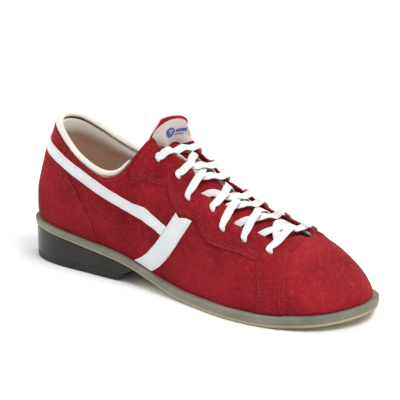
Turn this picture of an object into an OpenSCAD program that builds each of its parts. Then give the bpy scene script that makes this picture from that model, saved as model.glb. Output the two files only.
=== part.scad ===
// Lace-up bowling shoe for the right foot, built from its separate pieces.
// Millimetres. +X to the toe, +Y to the inner (medial) side, +Z up.

/* [Size] */
// Length of the sole from the back of the heel to the toe tip
sole_length = 292; // [250:1:310]
// Greatest width of the sole across the ball of the foot
sole_width = 99; // [85:0.5:110]
// Width of the welt ledge left showing around the upper
ledge = 4.5; // [3:0.1:7]

/* [Leather] */
// Thickness of the vamp and quarters
base_t = 1.2; // [0.8:0.1:2]
// Thickness of the overlays stitched on top
over_t = 1.0; // [0.6:0.1:1.6]
// Thickness of the linings
lining_t = 0.8; // [0.5:0.1:1.4]
// Thickness of toe puff and heel stiffener
stiff_t = 1.0; // [0.6:0.1:1.4]
// Extra depth of the padding at the collar
pad_t = 1.6; // [1:0.1:5]

/* [Sole] */
// Thickness of the insole board
board_t = 2.0; // [1:0.1:3]
// Thickness of the sockliner
liner_t = 3.0; // [2:0.1:6]
// Thickness of the heel's top piece, the part that meets the floor
lift_t = 6.0; // [3:0.5:9]
// Heel length along the floor
heel_floor = 92; // [70:1:110]
// Heel length where it meets the outsole
heel_top = 110; // [80:1:125]
// Heel nail radius
nail_r = 1.2; // [0.8:0.1:2]

/* [Lacing] */
// Radius of the punched lace holes
hole_r = 2.6; // [1.8:0.1:3]
// Width of the flat lace
lace_w = 6; // [4:0.1:9]
// Thickness of the lace
lace_t = 1.1; // [0.8:0.1:2]
// Width of the lace where it is folded through a hole
lace_fold = 3.0; // [2:0.1:4.4]

/* [Tongue] */
// Depth of the tongue's outer face under the upper's outer face
tongue_gap = 6.3; // [5:0.1:8]
// Thickness of the tongue's padding
tongue_pad = 3.2; // [1:0.1:6]
// Height the tongue stands above its lacing
tongue_rise = 15; // [5:1:30]

/* [Hidden] */

kx = sole_length / 292;
ky = sole_width / 99;
turns = 18;
gap = 0.4;
shift = [-0.5012 * sole_length, 3.08 * ky, 0];

// Plan outline, one point per unit of u, starting at the back of the heel and
// going round by the outer side to the toe and back by the inner side.
plan = [[0, 0], [7, -22], [30, -33], [70, -34.5], [115, -36], [160, -44.5],
  [205, -52.5], [245, -48.5], [275.5, -32], [292, -5], [287, 23], [263, 40],
  [222, 46.5], [177, 38], [130, 27], [85, 28], [40, 32], [9, 23]];
// Height of the sole's underside and of the welt's upper face along its length
under = [[-10, 26.3], [14, 25.9], [33, 24], [63, 20], [92, 15.8], [110, 11.9],
  [120, 9.1], [146, 2.8], [163, 0.5], [180, 0], [222, 0], [240, 0.7], [254, 1.9],
  [270, 3.4], [285, 5.8], [300, 9]];
over = [[-10, 32.4], [14, 31.6], [33, 29.6], [63, 25.8], [92, 21.6], [110, 17.6],
  [123, 14.2], [138, 10.9], [159, 8.2], [180, 7.8], [222, 8.1], [240, 8.9],
  [254, 10.1], [270, 11.4], [285, 13.6], [300, 16.6]];
// Top line of the upper: u, then x, y, z
top_line = [[0, 17, 0, 111], [0.6, 20, -9, 110.5], [1.2, 27, -17.5, 107],
  [2, 41, -24.5, 98], [2.6, 56, -28, 89], [3.2, 76, -29.5, 82], [3.6, 90, -28, 84],
  [3.9, 101, -24, 95], [4.2, 114, -17, 111.5], [4.5, 122, -12, 106],
  [5.3, 150, -7, 90.5], [6.2, 180, -5, 72.5], [7, 207, -4, 62.5], [7.8, 228, -2, 57],
  [8.4, 236, 1, 54.5], [9, 238.5, 5, 54], [9.6, 236, 11, 54], [10.2, 228, 13, 56],
  [11, 207, 14, 61.5], [11.8, 180, 13, 72], [12.7, 150, 11, 90.5],
  [13.5, 122, 13, 106.5], [13.8, 114, 17, 112], [14.1, 101, 24, 96],
  [14.4, 90, 28, 86], [14.8, 76, 29.5, 84], [15.4, 56, 28, 90.5], [16, 41, 24.5, 98.5],
  [16.8, 27, 17.5, 107], [17.4, 20, 9, 110.5]];
// Fullness low down: u, outward, upward
low_swell = [[0, 5.5, 22], [1, 5, 22], [2, 3, 20], [4, 2, 22], [6, 3, 20], [8, 2, 16],
  [9, 1, 15], [10, 1, 13], [11, 2, 15], [12, 2, 20], [14, 1, 24], [16, 3, 20],
  [17, 5, 22]];
// Fullness high up, measured from the top line: u, then x, y, z
high_swell = [[0, -9.5, 0, -28], [1.2, -5, -5, -26], [2, 0, -5, -24],
  [3.2, 0, -4, -18], [3.9, 0, -6, -26], [4.5, 3, -12, -20], [5.3, 3, -22, -16],
  [6.2, 4, -27, -12], [7, 8, -27, -9], [7.8, 18, -21, -6], [8.4, 27, -12, -5],
  [9, 30, 0, -6], [9.6, 24, 8, -6], [10.2, 17, 14, -6], [11, 8, 16, -8],
  [11.8, 3, 13, -12], [12.7, 3, 12, -18], [13.5, 2, 10, -22], [14.1, 0, 5, -26],
  [14.8, 0, 4, -18], [16, 0, 5, -24], [16.8, -5, 5, -26]];
// Lace holes of one facing from the top down, as u and height fraction t
holes = [[4.41, 0.839], [4.93, 0.821], [5.21, 0.724], [5.81, 0.772], [6.08, 0.675],
  [6.58, 0.678], [7.13, 0.65]];
// Stepped inner edge of the facing, and the same edge on the layer beneath
facing_edge = [[3.8, 0.86], [4, 0.915], [4.12, 0.933], [4.38, 0.95], [4.55, 0.968],
  [4.8, 0.982], [5.01, 0.984], [5.21, 0.955], [5.32, 0.915], [5.44, 0.825],
  [5.75, 0.862], [6.01, 0.9], [6.15, 0.9], [6.27, 0.845], [6.36, 0.785], [6.61, 0.8],
  [6.9, 0.808], [7.07, 0.796], [7.19, 0.765], [7.47, 0.833], [7.89, 0.93], [8.3, 0.985],
  [9, 0.99]];
under_edge = [[3.7, 0.97], [3.9, 0.993], [4.26, 0.996], [4.36, 0.96], [4.5, 0.945],
  [5, 0.945], [5.2, 0.9], [5.44, 0.79], [5.8, 0.81], [6.1, 0.84], [6.36, 0.76],
  [7, 0.765], [7.2, 0.74], [7.5, 0.79], [7.9, 0.9], [8.2, 0.96], [9, 0.985]];
// Scalloped outer edge of the facing
scallop = [[3.8, 0.85], [3.86, 0.8], [4, 0.73], [4.24, 0.658], [4.46, 0.677],
  [4.68, 0.72], [4.78, 0.636], [4.97, 0.573], [5.15, 0.603], [5.42, 0.615],
  [5.52, 0.549], [5.71, 0.509], [5.96, 0.524], [6.44, 0.549], [6.81, 0.534],
  [7.38, 0.513], [8, 0.5]];
// Front seam of the facing: t, u
seam = [[-0.1, 7.1], [0, 7.11], [0.258, 7.21], [0.513, 7.38], [0.671, 7.52],
  [0.784, 7.76], [0.9, 8.08], [1, 8.3], [1.1, 8.4]];

outline_pts = [for (p = plan) [p.x * kx, p.y * ky]];

function unit(v) = v / norm(v);
function mix(a, b, f) = a + (b - a) * f;
function ease(f) = let (g = min(1, max(0, f))) g * g * (3 - 2 * g);
function outline(u) = let (i = floor(u), f = u - i, w = [for (k = [-1:2])
    outline_pts[(((i + k) % turns) + turns) % turns]], a = w[0], b = w[1], c = w[2], d = w[3])
  0.5 * (2 * b + (c - a) * f + (2 * a - 5 * b + 4 * c - d) * f * f
    + (3 * b - a - 3 * c + d) * f * f * f);
function outward(u) = let (t = unit(outline(u + 0.01) - outline(u - 0.01))) [t.y, -t.x];

// Smooth curve through the rows of a table whose first column is the key.
function blend4(a, b, c, d, x) = let (h = c[0] - b[0], f = (x - b[0]) / h,
    m = (c - a) * h / (c[0] - a[0]), k = (d - b) * h / (d[0] - b[0]))
  (2 * f * f * f - 3 * f * f + 1) * b + (f * f * f - 2 * f * f + f) * m
    + (3 * f * f - 2 * f * f * f) * c + (f * f * f - f * f) * k;
function last_key(tab, x) = max([for (i = [0:len(tab) - 1]) if (tab[i][0] <= x) i]);
function along(tab, x) = let (n = len(tab), z = min(tab[n - 1][0] - 0.001, max(tab[0][0], x)),
    i = last_key(tab, z)) blend4(tab[max(0, i - 1)], tab[i], tab[i + 1],
    tab[min(n - 1, i + 2)], z)[1];
function lookup_line(tab, x) = lookup(x, tab);
function ring_row(tab, i) = let (n = len(tab), w = floor(i / n), r = tab[i - n * w])
  [for (j = [0:len(r) - 1]) r[j] + (j == 0 ? turns * w : 0)];
function round_ring(tab, u) = let (x = u - turns * floor(u / turns), i = last_key(tab, x))
  blend4(ring_row(tab, i - 1), ring_row(tab, i), ring_row(tab, i + 1),
    ring_row(tab, i + 2), x);

function under_z(x) = along(under, x / kx);
function over_z(x) = along(over, x / kx);

// Outer face of the upper: u runs round the shoe, t from the welt to the top line.
function surf(u, t) = let (n = outward(u), q = outline(u) - ledge * n,
    b = [q.x, q.y, over_z(q.x) + 0.2], w = round_ring(low_swell, u),
    e = round_ring(top_line, u), h = round_ring(high_swell, u),
    p = b + [n.x * w[1], n.y * w[1], w[2]], s = [e[1] * kx, e[2] * ky, e[3]],
    c = s + [h[1], h[2], h[3]], r = 1 - t)
  r * r * r * b + 3 * r * r * t * p + 3 * r * t * t * c + t * t * t * s;
function surf_frame(u, t) = let (a = surf(u + 0.02, t) - surf(u - 0.02, t),
    b = surf(u, min(1, t + 0.01)) - surf(u, max(0, t - 0.01)))
  [surf(u, t), unit(cross(a, b))];
function skin(u, t, o) = let (f = surf_frame(u, t)) f[0] + o * f[1];

// Solid between two offsets of a surface, on a grid of n by m cells.
module grid_solid(n, m, frame, uv, a, b, has = function(i, j) true) {
  base = [for (i = [0:n]) for (j = [0:m]) let (q = uv(i, j), f = frame(q[0], q[1]))
    [q, f[0], f[1]]];
  k = (n + 1) * (m + 1);
  points = concat([for (f = base) f[1] + a(f[0][0], f[0][1]) * f[2]],
    [for (f = base) f[1] + b(f[0][0], f[0][1]) * f[2]]);
  id = function(i, j) i * (m + 1) + j;
  live = function(i, j) i >= 0 && j >= 0 && i < n && j < m && has(i, j);
  faces = [for (i = [0:n - 1]) for (j = [0:m - 1]) if (live(i, j))
    let (p = id(i, j), q = id(i + 1, j), r = id(i + 1, j + 1), s = id(i, j + 1))
    each concat([[p, s, r], [p, r, q], [p + k, r + k, s + k], [p + k, q + k, r + k]],
      live(i, j - 1) ? [] : [[p, q, q + k], [p, q + k, p + k]],
      live(i + 1, j) ? [] : [[q, r, r + k], [q, r + k, q + k]],
      live(i, j + 1) ? [] : [[r, s, s + k], [r, s + k, r + k]],
      live(i - 1, j) ? [] : [[s, p, p + k], [s, p + k, s + k]])];
  translate(shift) polyhedron(points, faces);
}
module leather(n, m, uv, top, bottom, has = function(i, j) true)
  grid_solid(n, m, function(u, t) surf_frame(u, t), uv, function(u, t) top,
    function(u, t) bottom, has);

// side = 0 for the outer (lateral) side, 1 for the inner (medial) side
function flip(side, u) = side == 0 ? u : turns - u;
function side_uv(side, n, uv) = side == 0 ? uv : function(i, j)
  let (q = uv(n - i, j)) [turns - q[0], q[1]];

module lace_holes(side) {
  for (h = holes) {
    f = surf_frame(flip(side, h[0]), h[1]);
    d = f[1];
    translate(shift + f[0]) rotate([0, acos(d.z), atan2(d.y, d.x)])
      translate([0, 0, -8]) cylinder(h = 14, r = hole_r, $fn = 12);
  }
}

// ---- sole ----
module side_profile(low, high, x0 = -6, x1 = 300, step = 6) {
  n = ceil((x1 - x0) / step);
  xs = [for (i = [0:n]) x0 + (x1 - x0) * i / n];
  rotate([90, 0, 0]) translate([0, 0, -90]) linear_extrude(180)
    polygon(concat([for (x = xs) [x * kx, low(x * kx)]],
      [for (i = [n:-1:0]) [xs[i] * kx, high(xs[i] * kx)]]));
}
module plan_solid(inset, per = 5) linear_extrude(60)
  polygon([for (i = [0:turns * per - 1]) let (u = i / per) outline(u) - inset * outward(u)]);
function mid_z(x) = mix(under_z(x), over_z(x), 0.36);

module outsole() color("Khaki") translate(shift) intersection() {
  plan_solid(0.6);
  side_profile(function(x) under_z(x), function(x) mid_z(x) - 0.05);
}
module welt() color("Gray") translate(shift) difference() {
  intersection() {
    plan_solid(0);
    side_profile(function(x) mid_z(x), function(x) over_z(x));
  }
  translate([0, 0, -1]) plan_solid(12, 3);
}
module bottom_filler() color("Peru") translate(shift) intersection() {
  plan_solid(12.3, 3);
  side_profile(function(x) mid_z(x), function(x) over_z(x) - 1.5);
}
module shank() color("Silver") translate(shift) intersection() {
  linear_extrude(60) polygon([[58, -9], [118, -7], [166, -9], [168, 3], [120, 2], [60, 7]]);
  side_profile(function(x) over_z(x) - 1.4, function(x) over_z(x) - 0.15);
}
module insole_board() color("Tan") translate(shift) intersection() {
  plan_solid(ledge + 4.6, 4);
  side_profile(function(x) over_z(x) + 0.05, function(x) over_z(x) + board_t);
}
module sockliner() color("DarkRed") translate(shift) intersection() {
  plan_solid(ledge + 5, 4);
  side_profile(function(x) over_z(x) + board_t + 0.1,
    function(x) over_z(x) + board_t + liner_t);
}
module nail_spots() for (p = [[16, 0], [36, 17], [36, -17], [66, 19], [66, -19]])
  translate(p) children();
module heel_block() color("Black") translate(shift) difference() {
  intersection() {
    plan_solid(1);
    rotate([90, 0, 0]) translate([0, 0, -90]) linear_extrude(180) polygon(concat(
      [[-6, lift_t + 0.05], [heel_floor + 9 * lift_t / 7, lift_t + 0.05]],
      [for (i = [0:14]) let (x = heel_top - (heel_top + 6) * i / 14)
        [x, under_z(x) - 0.05]]));
  }
  nail_spots() cylinder(h = 16.1, r = nail_r + 0.05, $fn = 24);
}
module heel_lift() color("DimGray") translate(shift) difference() {
  intersection() {
    plan_solid(1.3);
    rotate([90, 0, 0]) translate([0, 0, -90]) linear_extrude(180) polygon(
      [[-6, 0], [heel_floor, 0], [heel_floor + 9 * lift_t / 7, lift_t], [-6, lift_t]]);
  }
  nail_spots() translate([0, 0, -1]) cylinder(h = 20, r = nail_r + 0.05, $fn = 24);
}
module heel_nails() color("Silver") translate(shift) nail_spots()
  translate([0, 0, 0.6]) cylinder(h = 15.4, r = nail_r, $fn = 24);

// Shared grid lines keep the layers parallel: columns back to front on one side
cols = [0.005, 0.15, 0.3, 0.45, 0.6, 0.8, 1, 1.25, 1.5, 1.75, 2, 2.3, 2.6, 2.9, 3.2, 3.5,
  3.7, 3.86, 3.92, 4.1, 4.2, 4.3, 4.4, 4.5, 4.6, 4.9, 5.15, 5.42, 5.75, 6.1, 6.36, 6.7, 7.05,
  7.35, 7.65, 7.92];
back_cols = 17;
last_col = len(cols) - 1;
row = 0.119;
// Height fraction that leaves room for the binding under the top line
function rim_t(u) = let (h = round_ring(high_swell, u)) 1 - 1.08 / norm([h[1], h[2], h[3]]);

// ---- upper, outer leather ----
function base_seam(t) = along(seam, t) - 0.24;
module vamp() color("Crimson") {
  n = 22; m = 9;
  leather(n, m, function(i, j) let (t = j / m * 0.985, s = base_seam(t) + 0.012)
    [mix(s, turns - s, i / n), t], 0, -base_t);
}
function quarter_top(side, u) = u < 3.89 ? rim_t(flip(side, u)) : lookup_line(under_edge, u);
function quarter_uv(side, i, j, m, low, top) = let (c = cols[i], k = 4.6,
    t = mix(low, quarter_top(side, c) - top, j / m))
  [c <= k ? c : mix(k, base_seam(t) - 0.012, (c - k) / (cols[last_col] - k)), t];
module quarter(side) difference() {
  leather(last_col, 8, side_uv(side, last_col, function(i, j) quarter_uv(side, i, j, 8, 0, 0)),
    0, -base_t);
  lace_holes(side);
}
module quarter_lateral() color("Crimson") quarter(0);
module quarter_medial() color("Crimson") quarter(1);

// The facing runs along the lacing; its front end drops to the welt as a band.
module facing(side, n, m, nb, ib, top, bottom) {
  uv = function(i, j) let (s = i / n, lu = mix(3.9, 7.38, s), lt = lookup_line(scallop, lu),
      hu = mix(3.9, 8.25, s), ht = lookup_line(facing_edge, hu),
      f = max(0, (j - nb) / (m - nb)), g = min(1, j / nb),
      bu = mix(6.53, 7.11, (i - ib) / (n - ib)),
      t = j >= nb ? mix(lt, ht, f) : mix(0.015, lt, g),
      u = j >= nb ? mix(lu, hu, f) : mix(bu, lu, g),
      lim = along(seam, t)) [i == n ? lim : min(u, lim - 0.02 * (n - i)), t];
  has = function(i, j) j >= nb || i >= ib;
  leather(n, m, side_uv(side, n, uv), top, bottom,
    side == 0 ? has : function(i, j) has(n - 1 - i, j));
}
module eyestay(side) difference() {
  facing(side, 29, 9, 4, 24, gap + over_t, gap);
  lace_holes(side);
}
module eyestay_lateral() color("Red") eyestay(0);
module eyestay_medial() color("Red") eyestay(1);

// Slanted strap from the welt up to the facing: s across it, f up it
function strap_uv(s, f) = let (hu = mix(4.9, 5.3, s), ht = lookup_line(scallop, hu) - 0.02)
  [mix(mix(3.85, 4.23, s), hu, f), mix(0.015, ht, f)];
module saddle_strap(side) {
  n = 4; m = 9;
  leather(n, m, side_uv(side, n, function(i, j) strap_uv(i / n, j / m)), gap + over_t - 0.2,
    gap);
}
module saddle_strap_lateral() color("White") saddle_strap(0);
module saddle_strap_medial() color("White") saddle_strap(1);
// The band follows the collar, then drops and ends against the strap's rear edge.
band_mid = [[0, 0.772], [0.6, 0.77], [1.2, 0.772], [2, 0.793], [2.6, 0.806], [3, 0.79],
  [3.3, 0.75], [3.6, 0.686], [3.75, 0.622], [3.9, 0.55], [4.05, 0.475], [4.2, 0.425],
  [4.35, 0.412], [4.8, 0.39]];
band_half = [[0, 0.047], [1.2, 0.051], [2, 0.058], [2.6, 0.07], [3.2, 0.08], [3.6, 0.07],
  [3.9, 0.053], [4.2, 0.038], [4.8, 0.038]];
band_end = 4.58;
function strap_rear(t) = let (ht = lookup_line(scallop, 4.9) - 0.02)
  mix(3.85, 4.9, (t - 0.015) / (ht - 0.015));
module collar_band(side) {
  n = 26; m = 2;
  leather(n, m, side_uv(side, n, function(i, j) let (a = i / n, x = mix(0.01, band_end, a),
      t = along(band_mid, x) + lookup_line(band_half, x) * (j / m * 2 - 1))
      [x + ease((a - 0.85) / 0.15) * (strap_rear(t) - 0.03 - band_end), t]),
    gap + over_t - 0.2, gap);
}
module collar_band_lateral() color("White") collar_band(0);
module collar_band_medial() color("White") collar_band(1);
counter_front = [[0, 3.04], [0.06, 3.02], [0.289, 2.94], [0.598, 2.55], [0.72, 2.2]];
// Heel pieces share the quarters' columns, then fan out to their own front edge
function heel_u(i, e) = let (k = abs(i - 13), c = k < 11 ? (k == 0 ? 0 : cols[k])
    : mix(2, e, (k - 10) / 3)) i < 13 ? -c : c;
module heel_counter_cover() color("Crimson")
  leather(26, 6, function(i, j) let (t = j == 0 ? 0.015 : j < 6 ? row * j : 0.715)
    [heel_u(i, lookup_line(counter_front, t)), t], gap + over_t, gap);
module collar_binding() color("Ivory") {
  n = 46; m = 8;
  mids = [for (i = [0:n]) let (u = mix(-3.86, 3.86, i / n), f = surf_frame(u, 1),
      d = unit(surf(u, 1) - surf(u, 0.97)), r = pad_t / 2 + 2.1)
    for (k = [0:m - 1]) let (w = 360 * k / m)
      f[0] + f[1] * (r * cos(w) - r + 0.5) + d * (2.3 * sin(w) - 0.1)];
  faces = concat(
    [for (i = [0:n - 1]) for (k = [0:m - 1]) let (p = i * m + k, q = i * m + (k + 1) % m)
      each [[p, q, q + m], [p, q + m, p + m]]],
    [[for (k = [m - 1:-1:0]) k], [for (k = [0:m - 1]) n * m + k]]);
  translate(shift) polyhedron(mids, faces);
}

// ---- upper, inner layers ----
layer1 = base_t + gap;
layer2 = layer1 + stiff_t + gap;
function pad_depth(u, t) = let (x = abs(u > turns / 2 ? u - turns : u))
  pad_t * ease((t - 0.7) / 0.18) * (1 - ease((x - 3.5) / 0.5));
module toe_puff() color("Wheat") {
  n = 14; m = 6;
  leather(n, m, function(i, j) let (t = 0.5 * j / m, e = mix(1.35, 0.95, j / m))
    [9 - e + 2 * e * i / n, t], -layer1, -layer1 - stiff_t);
}
module heel_stiffener() color("Wheat")
  leather(26, 6, function(i, j) let (t = j < 6 ? row * j + 0.004 : 0.66)
    [heel_u(i, mix(2.9, 2.2, j / 6)), t], -layer1, -layer1 - stiff_t);
module collar_foam() color("Gold") {
  n = 2 * back_cols - 2;
  grid_solid(n, 3, function(u, t) surf_frame(u, t), function(i, j)
    let (k = i - back_cols + 1, u = (k < 0 ? -1 : 1) * (k == 0 ? 0 : cols[abs(k)]))
    [u, [row * 6, row * 6.5, row * 7, rim_t(u) - 0.004][j]], function(u, t) -layer1,
    function(u, t) -layer1 - stiff_t - pad_depth(u, t));
}
// Reinforcing tape behind the lace holes
module facing_tape(side) difference() {
  first = 20; n = 13;
  leather(n, 3, side_uv(side, n, function(i, j) let (u = cols[first + i],
      t = mix(lookup_line(scallop, u) + 0.08, lookup_line(under_edge, u) - 0.015, j / 3))
      [u, t]), -layer1 - 0.2, -layer1 - 0.5);
  lace_holes(side);
}
module facing_tape_lateral() color("White") facing_tape(0);
module facing_tape_medial() color("White") facing_tape(1);
// Depth of the lining's outer face: shallow under the facings, deep at the collar.
function lining_depth(u, t) = let (x = abs(u > turns / 2 ? u - turns : u))
  mix(layer2, layer1 + 0.5 + gap, ease((t - 0.45) / 0.15) * ease((x - 3.9) / 0.5))
    + pad_depth(u, t);
module collar_lining() color("BurlyWood") difference() {
  n = 2 * last_col;
  grid_solid(n, 8, function(u, t) surf_frame(u, t), function(i, j)
    let (k = i - last_col, q = quarter_uv(k < 0 ? 1 : 0, abs(k), j, 8, 0.006, 0.006))
    [k == 0 ? 0 : k < 0 ? -q[0] : q[0], q[1]],
    function(u, t) -lining_depth(u, t), function(u, t) -lining_depth(u, t) - lining_t);
  lace_holes(0);
  lace_holes(1);
}
module vamp_lining() color("BurlyWood") {
  n = 20; m = 8;
  leather(n, m, function(i, j) let (t = mix(0.004, 0.97, j / m), s = base_seam(t) + 0.02)
    [mix(s, turns - s, i / n), t], -layer2, -layer2 - lining_t);
}

// ---- tongue ----
// Centre surface of the tongue: s from the throat to the top, v across it. It lies
// under the facings up to s = split, then rises between them and stands up.
split = 0.72;
u_low = 8.3;
u_high = 4.6;
tongue_side = [[0, 0.82], [0.07, 0.66], [0.14, 0.6], [0.44, 0.6], [0.62, 0.88], [0.72, 0.96]];
function tongue_under(s, v) = let (u = mix(u_low, u_high, s / split),
    lo = lookup_line(tongue_side, s), d = -tongue_gap,
    a = skin(u, 0.97, d), b = skin(turns - u, 0.97, d),
    ta = unit(a - skin(u, 0.94, d)), tb = unit(skin(turns - u, 0.94, d) - b),
    c = norm(b - a), f = (v - 0.3) / 0.4)
  v < 0.3 ? skin(u, mix(lo, 0.97, v / 0.3), d)
  : v > 0.7 ? skin(turns - u, mix(0.97, lo, (v - 0.7) / 0.3), d)
  : (2 * f * f * f - 3 * f * f + 1) * a + (f * f * f - 2 * f * f + f) * c * ta
    + (3 * f * f - 2 * f * f * f) * b + (f * f * f - f * f) * c * tb;
function tongue_top(v) = let (y = 2 * v - 1)
  [(127.7 - 3 * y * y + 1.5 * y) * kx, (0.5 + 12 * y) * ky, 112 + tongue_rise - 5 * y * y - 2 * y];
function tongue_pt(s, v) = s <= split ? tongue_under(s, v)
  : let (f = (s - split) / (1 - split), a = tongue_under(split, v),
    ta = 16 * unit(a - tongue_under(split - 0.02, v)), b = tongue_top(v), tb = [1, 0, 22])
  (2 * f * f * f - 3 * f * f + 1) * a + (f * f * f - 2 * f * f + f) * ta
    + (3 * f * f - 2 * f * f * f) * b + (f * f * f - f * f) * tb;
function tongue_frame(s, v) = let (
    a = tongue_pt(min(1, s + 0.015), v) - tongue_pt(max(0, s - 0.015), v),
    b = tongue_pt(s, min(1, v + 0.015)) - tongue_pt(s, max(0, v - 0.015)))
  [tongue_pt(s, v), -unit(cross(a, b))];
function corner(s) = 0.5 * (1 - 0.15 * ease((s - 0.88) / 0.12));
module tongue_layer(rim, top, bottom) {
  n = 22; m = 12;
  grid_solid(n, m, function(s, v) tongue_frame(s, v), function(i, j)
    let (s = 1 - min(1 - rim / 2, max(rim / 2, i / n)), w = corner(s),
      y = min(1 - rim, max(rim, j / m))) [s, 0.5 + w * (2 * y - 1)],
    function(s, v) top, function(s, v) bottom);
}
pad_top = -1.2 - 0.3;
module tongue_outer() color("Crimson") tongue_layer(0, 0, -1.2);
module tongue_foam() color("Gold") tongue_layer(0.04, pad_top, pad_top - tongue_pad);
module tongue_lining() color("BurlyWood")
  tongue_layer(0.02, pad_top - tongue_pad - 0.6, pad_top - tongue_pad - 0.6 - lining_t);
module tongue_label() color("Linen") grid_solid(4, 10, function(s, v) tongue_frame(s, v),
  function(i, j) [1 - (i + 0.5) / 22, 0.5 + (j - 5) / 12], function(s, v) 1,
  function(s, v) 0.3);
module label_emblem() color("RoyalBlue") grid_solid(6, 6,
  function(s, v) tongue_frame(s, v), function(i, j) let (x = i / 3 - 1, y = j / 3 - 1)
    [0.885 - 0.04 * x * sqrt(1 - y * y / 2), 0.5 + 0.14 * y * sqrt(1 - x * x / 2)],
  function(s, v) 1.6, function(s, v) 1.2);
module tongue_anchor() color("Crimson") {
  n = 8; m = 2;
  leather(n, m, function(i, j) [mix(8.15, 9.85, i / n), mix(0.72, 0.86, j / m)],
    -layer2 - lining_t - 0.3, -layer2 - lining_t - 1.2);
}

// ---- lace ----
// A station is a position, a width direction, a half width and a half thickness.
o_top = gap + over_t + 0.5 + lace_t / 2;
o_low = -(layer1 + 0.25 + gap + lining_t + 0.8 + lace_t / 2);
flat = lace_w / 2;
fold = lace_fold / 2;
thin = lace_t / 2;
thick = 0.75;
function edge_t(u) = lookup_line(facing_edge, u);
function on(side, u, t, o, hw, ht) = [skin(flip(side, u), t, o),
  unit(surf(flip(side, u - 0.05), t) - surf(flip(side, u + 0.05), t)), hw, ht];
function over_tongue(u, v, o, hw) = let (s = (u_low - u) * split / (u_low - u_high),
    f = tongue_frame(s, v)) [f[0] + o * f[1],
  unit(tongue_pt(s + 0.02, v) - tongue_pt(s - 0.02, v)), hw, thin];
// Up through a hole, from under the facing to its top
function rise(side, k) = let (h = holes[k]) [
  on(side, h[0], h[1] + 0.035, o_low, fold + 0.5, thin),
  on(side, h[0], h[1] + 0.008, o_low + 0.6, fold, thick),
  on(side, h[0], h[1], -1.6, fold, thick),
  on(side, h[0], h[1], 0.4, fold, thick),
  on(side, h[0], h[1] + 0.01, o_top - 0.3, fold + 0.4, thick),
  on(side, h[0], h[1] + 0.035, o_top + 0.15, fold + 0.9, thin)];
// From a hole over the facing towards u at its inner edge, and in under the other one
function go_over(side, k, u) = let (h = holes[k]) [for (f = [0.35, 0.72])
  on(side, mix(h[0], u, f), mix(h[1], 1, f), o_top + 0.3 + 0.4 * f, flat, thin)];
function go_under(side, k, u) = let (h = holes[k], e = edge_t(u)) [
  on(side, u, e - 0.01, o_low, flat, thin),
  on(side, mix(u, h[0], 0.55), mix(e, h[1] + 0.035, 0.55), o_low, flat - 0.6, thin)];
function flip_list(a) = [for (i = [len(a) - 1:-1:0]) a[i]];
// Where the lace leaves one facing, and where it dips in under the other
function edge_mid(side, u) = on(side, u, 0.999, 2.7, flat, thin);
function edge_in(side, u) = on(side, u, (edge_t(u) + 1) / 2 + 0.01, -3.1, flat, thin);
// Across the tongue from side a to the other side
function across(a, k, p, q) = let (z = (a == 1 ? 3.9 : 2.5) + (k == 1 ? 0.9 : 0),
    d = a == 0 ? 1 : -1)
  [for (f = [-0.13, 0, 0.13]) over_tongue(mix(p, q, 0.5 + 2.5 * f), 0.5 + d * f, z, flat)];
// From hole k on side a to hole k - 1 on the other side
function strand(a, k) = let (p = holes[k][0] + (a == 0 ? 0.2 : 0.42), q = p - 0.22,
    e = holes[k - 1][0] + (a == 0 ? 0.42 : 0.25)) concat(
  k == 6 ? concat(flip_list(go_under(a, k, p)), [edge_in(a, p)])
    : concat(go_over(a, k, p), [edge_mid(a, p)]),
  across(a, k, p, q), [edge_in(1 - a, mix(e, q, 0.5))], go_under(1 - a, k - 1, e),
  rise(1 - a, k - 1));
function half_lace(a) = concat(flip_list(rise(a, 6)),
  [for (k = [6:-1:1]) each strand((k + a) % 2, k)]);
function drop_last(r) = [for (i = [0:len(r) - 2]) r[i]];
// Straight bar across the lowest pair of holes
bar = concat(go_over(1, 6, 7.86), [edge_mid(1, 7.88)],
  [over_tongue(7.86, 0.62, 7, flat), over_tongue(7.8, 0.38, 7, flat)],
  [edge_mid(0, 7.74)], flip_list(go_over(0, 6, 7.72)));
// Both loose ends hang down over the inner side
end_a = concat(go_over(0, 0, 4.66), [edge_mid(0, 4.69), over_tongue(4.74, 0.37, 5.2, flat),
  over_tongue(4.78, 0.5, 5.4, flat), over_tongue(4.82, 0.63, 5.2, flat),
  on(1, 4.84, 0.999, o_top + 1.2, flat, thin), on(1, 4.8, 0.93, o_top + 0.8, flat, thin),
  on(1, 4.72, 0.84, o_top + 0.2, flat, thin), on(1, 4.64, 0.74, o_top, flat, thin),
  on(1, 4.58, 0.64, o_top, flat, thin), on(1, 4.54, 0.54, o_top, 2.8, thin)]);
end_b = [on(1, 4.4, 0.8, o_top + 0.1, fold + 0.6, thin), on(1, 4.38, 0.74, o_top, 3, thin),
  on(1, 4.36, 0.66, o_top, 3, thin), on(1, 4.35, 0.58, o_top, 3, thin),
  on(1, 4.34, 0.5, o_top, 2.8, thin)];
route = concat(flip_list(concat(drop_last(half_lace(1)), end_b)), bar, concat(half_lace(0), end_a));

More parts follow.
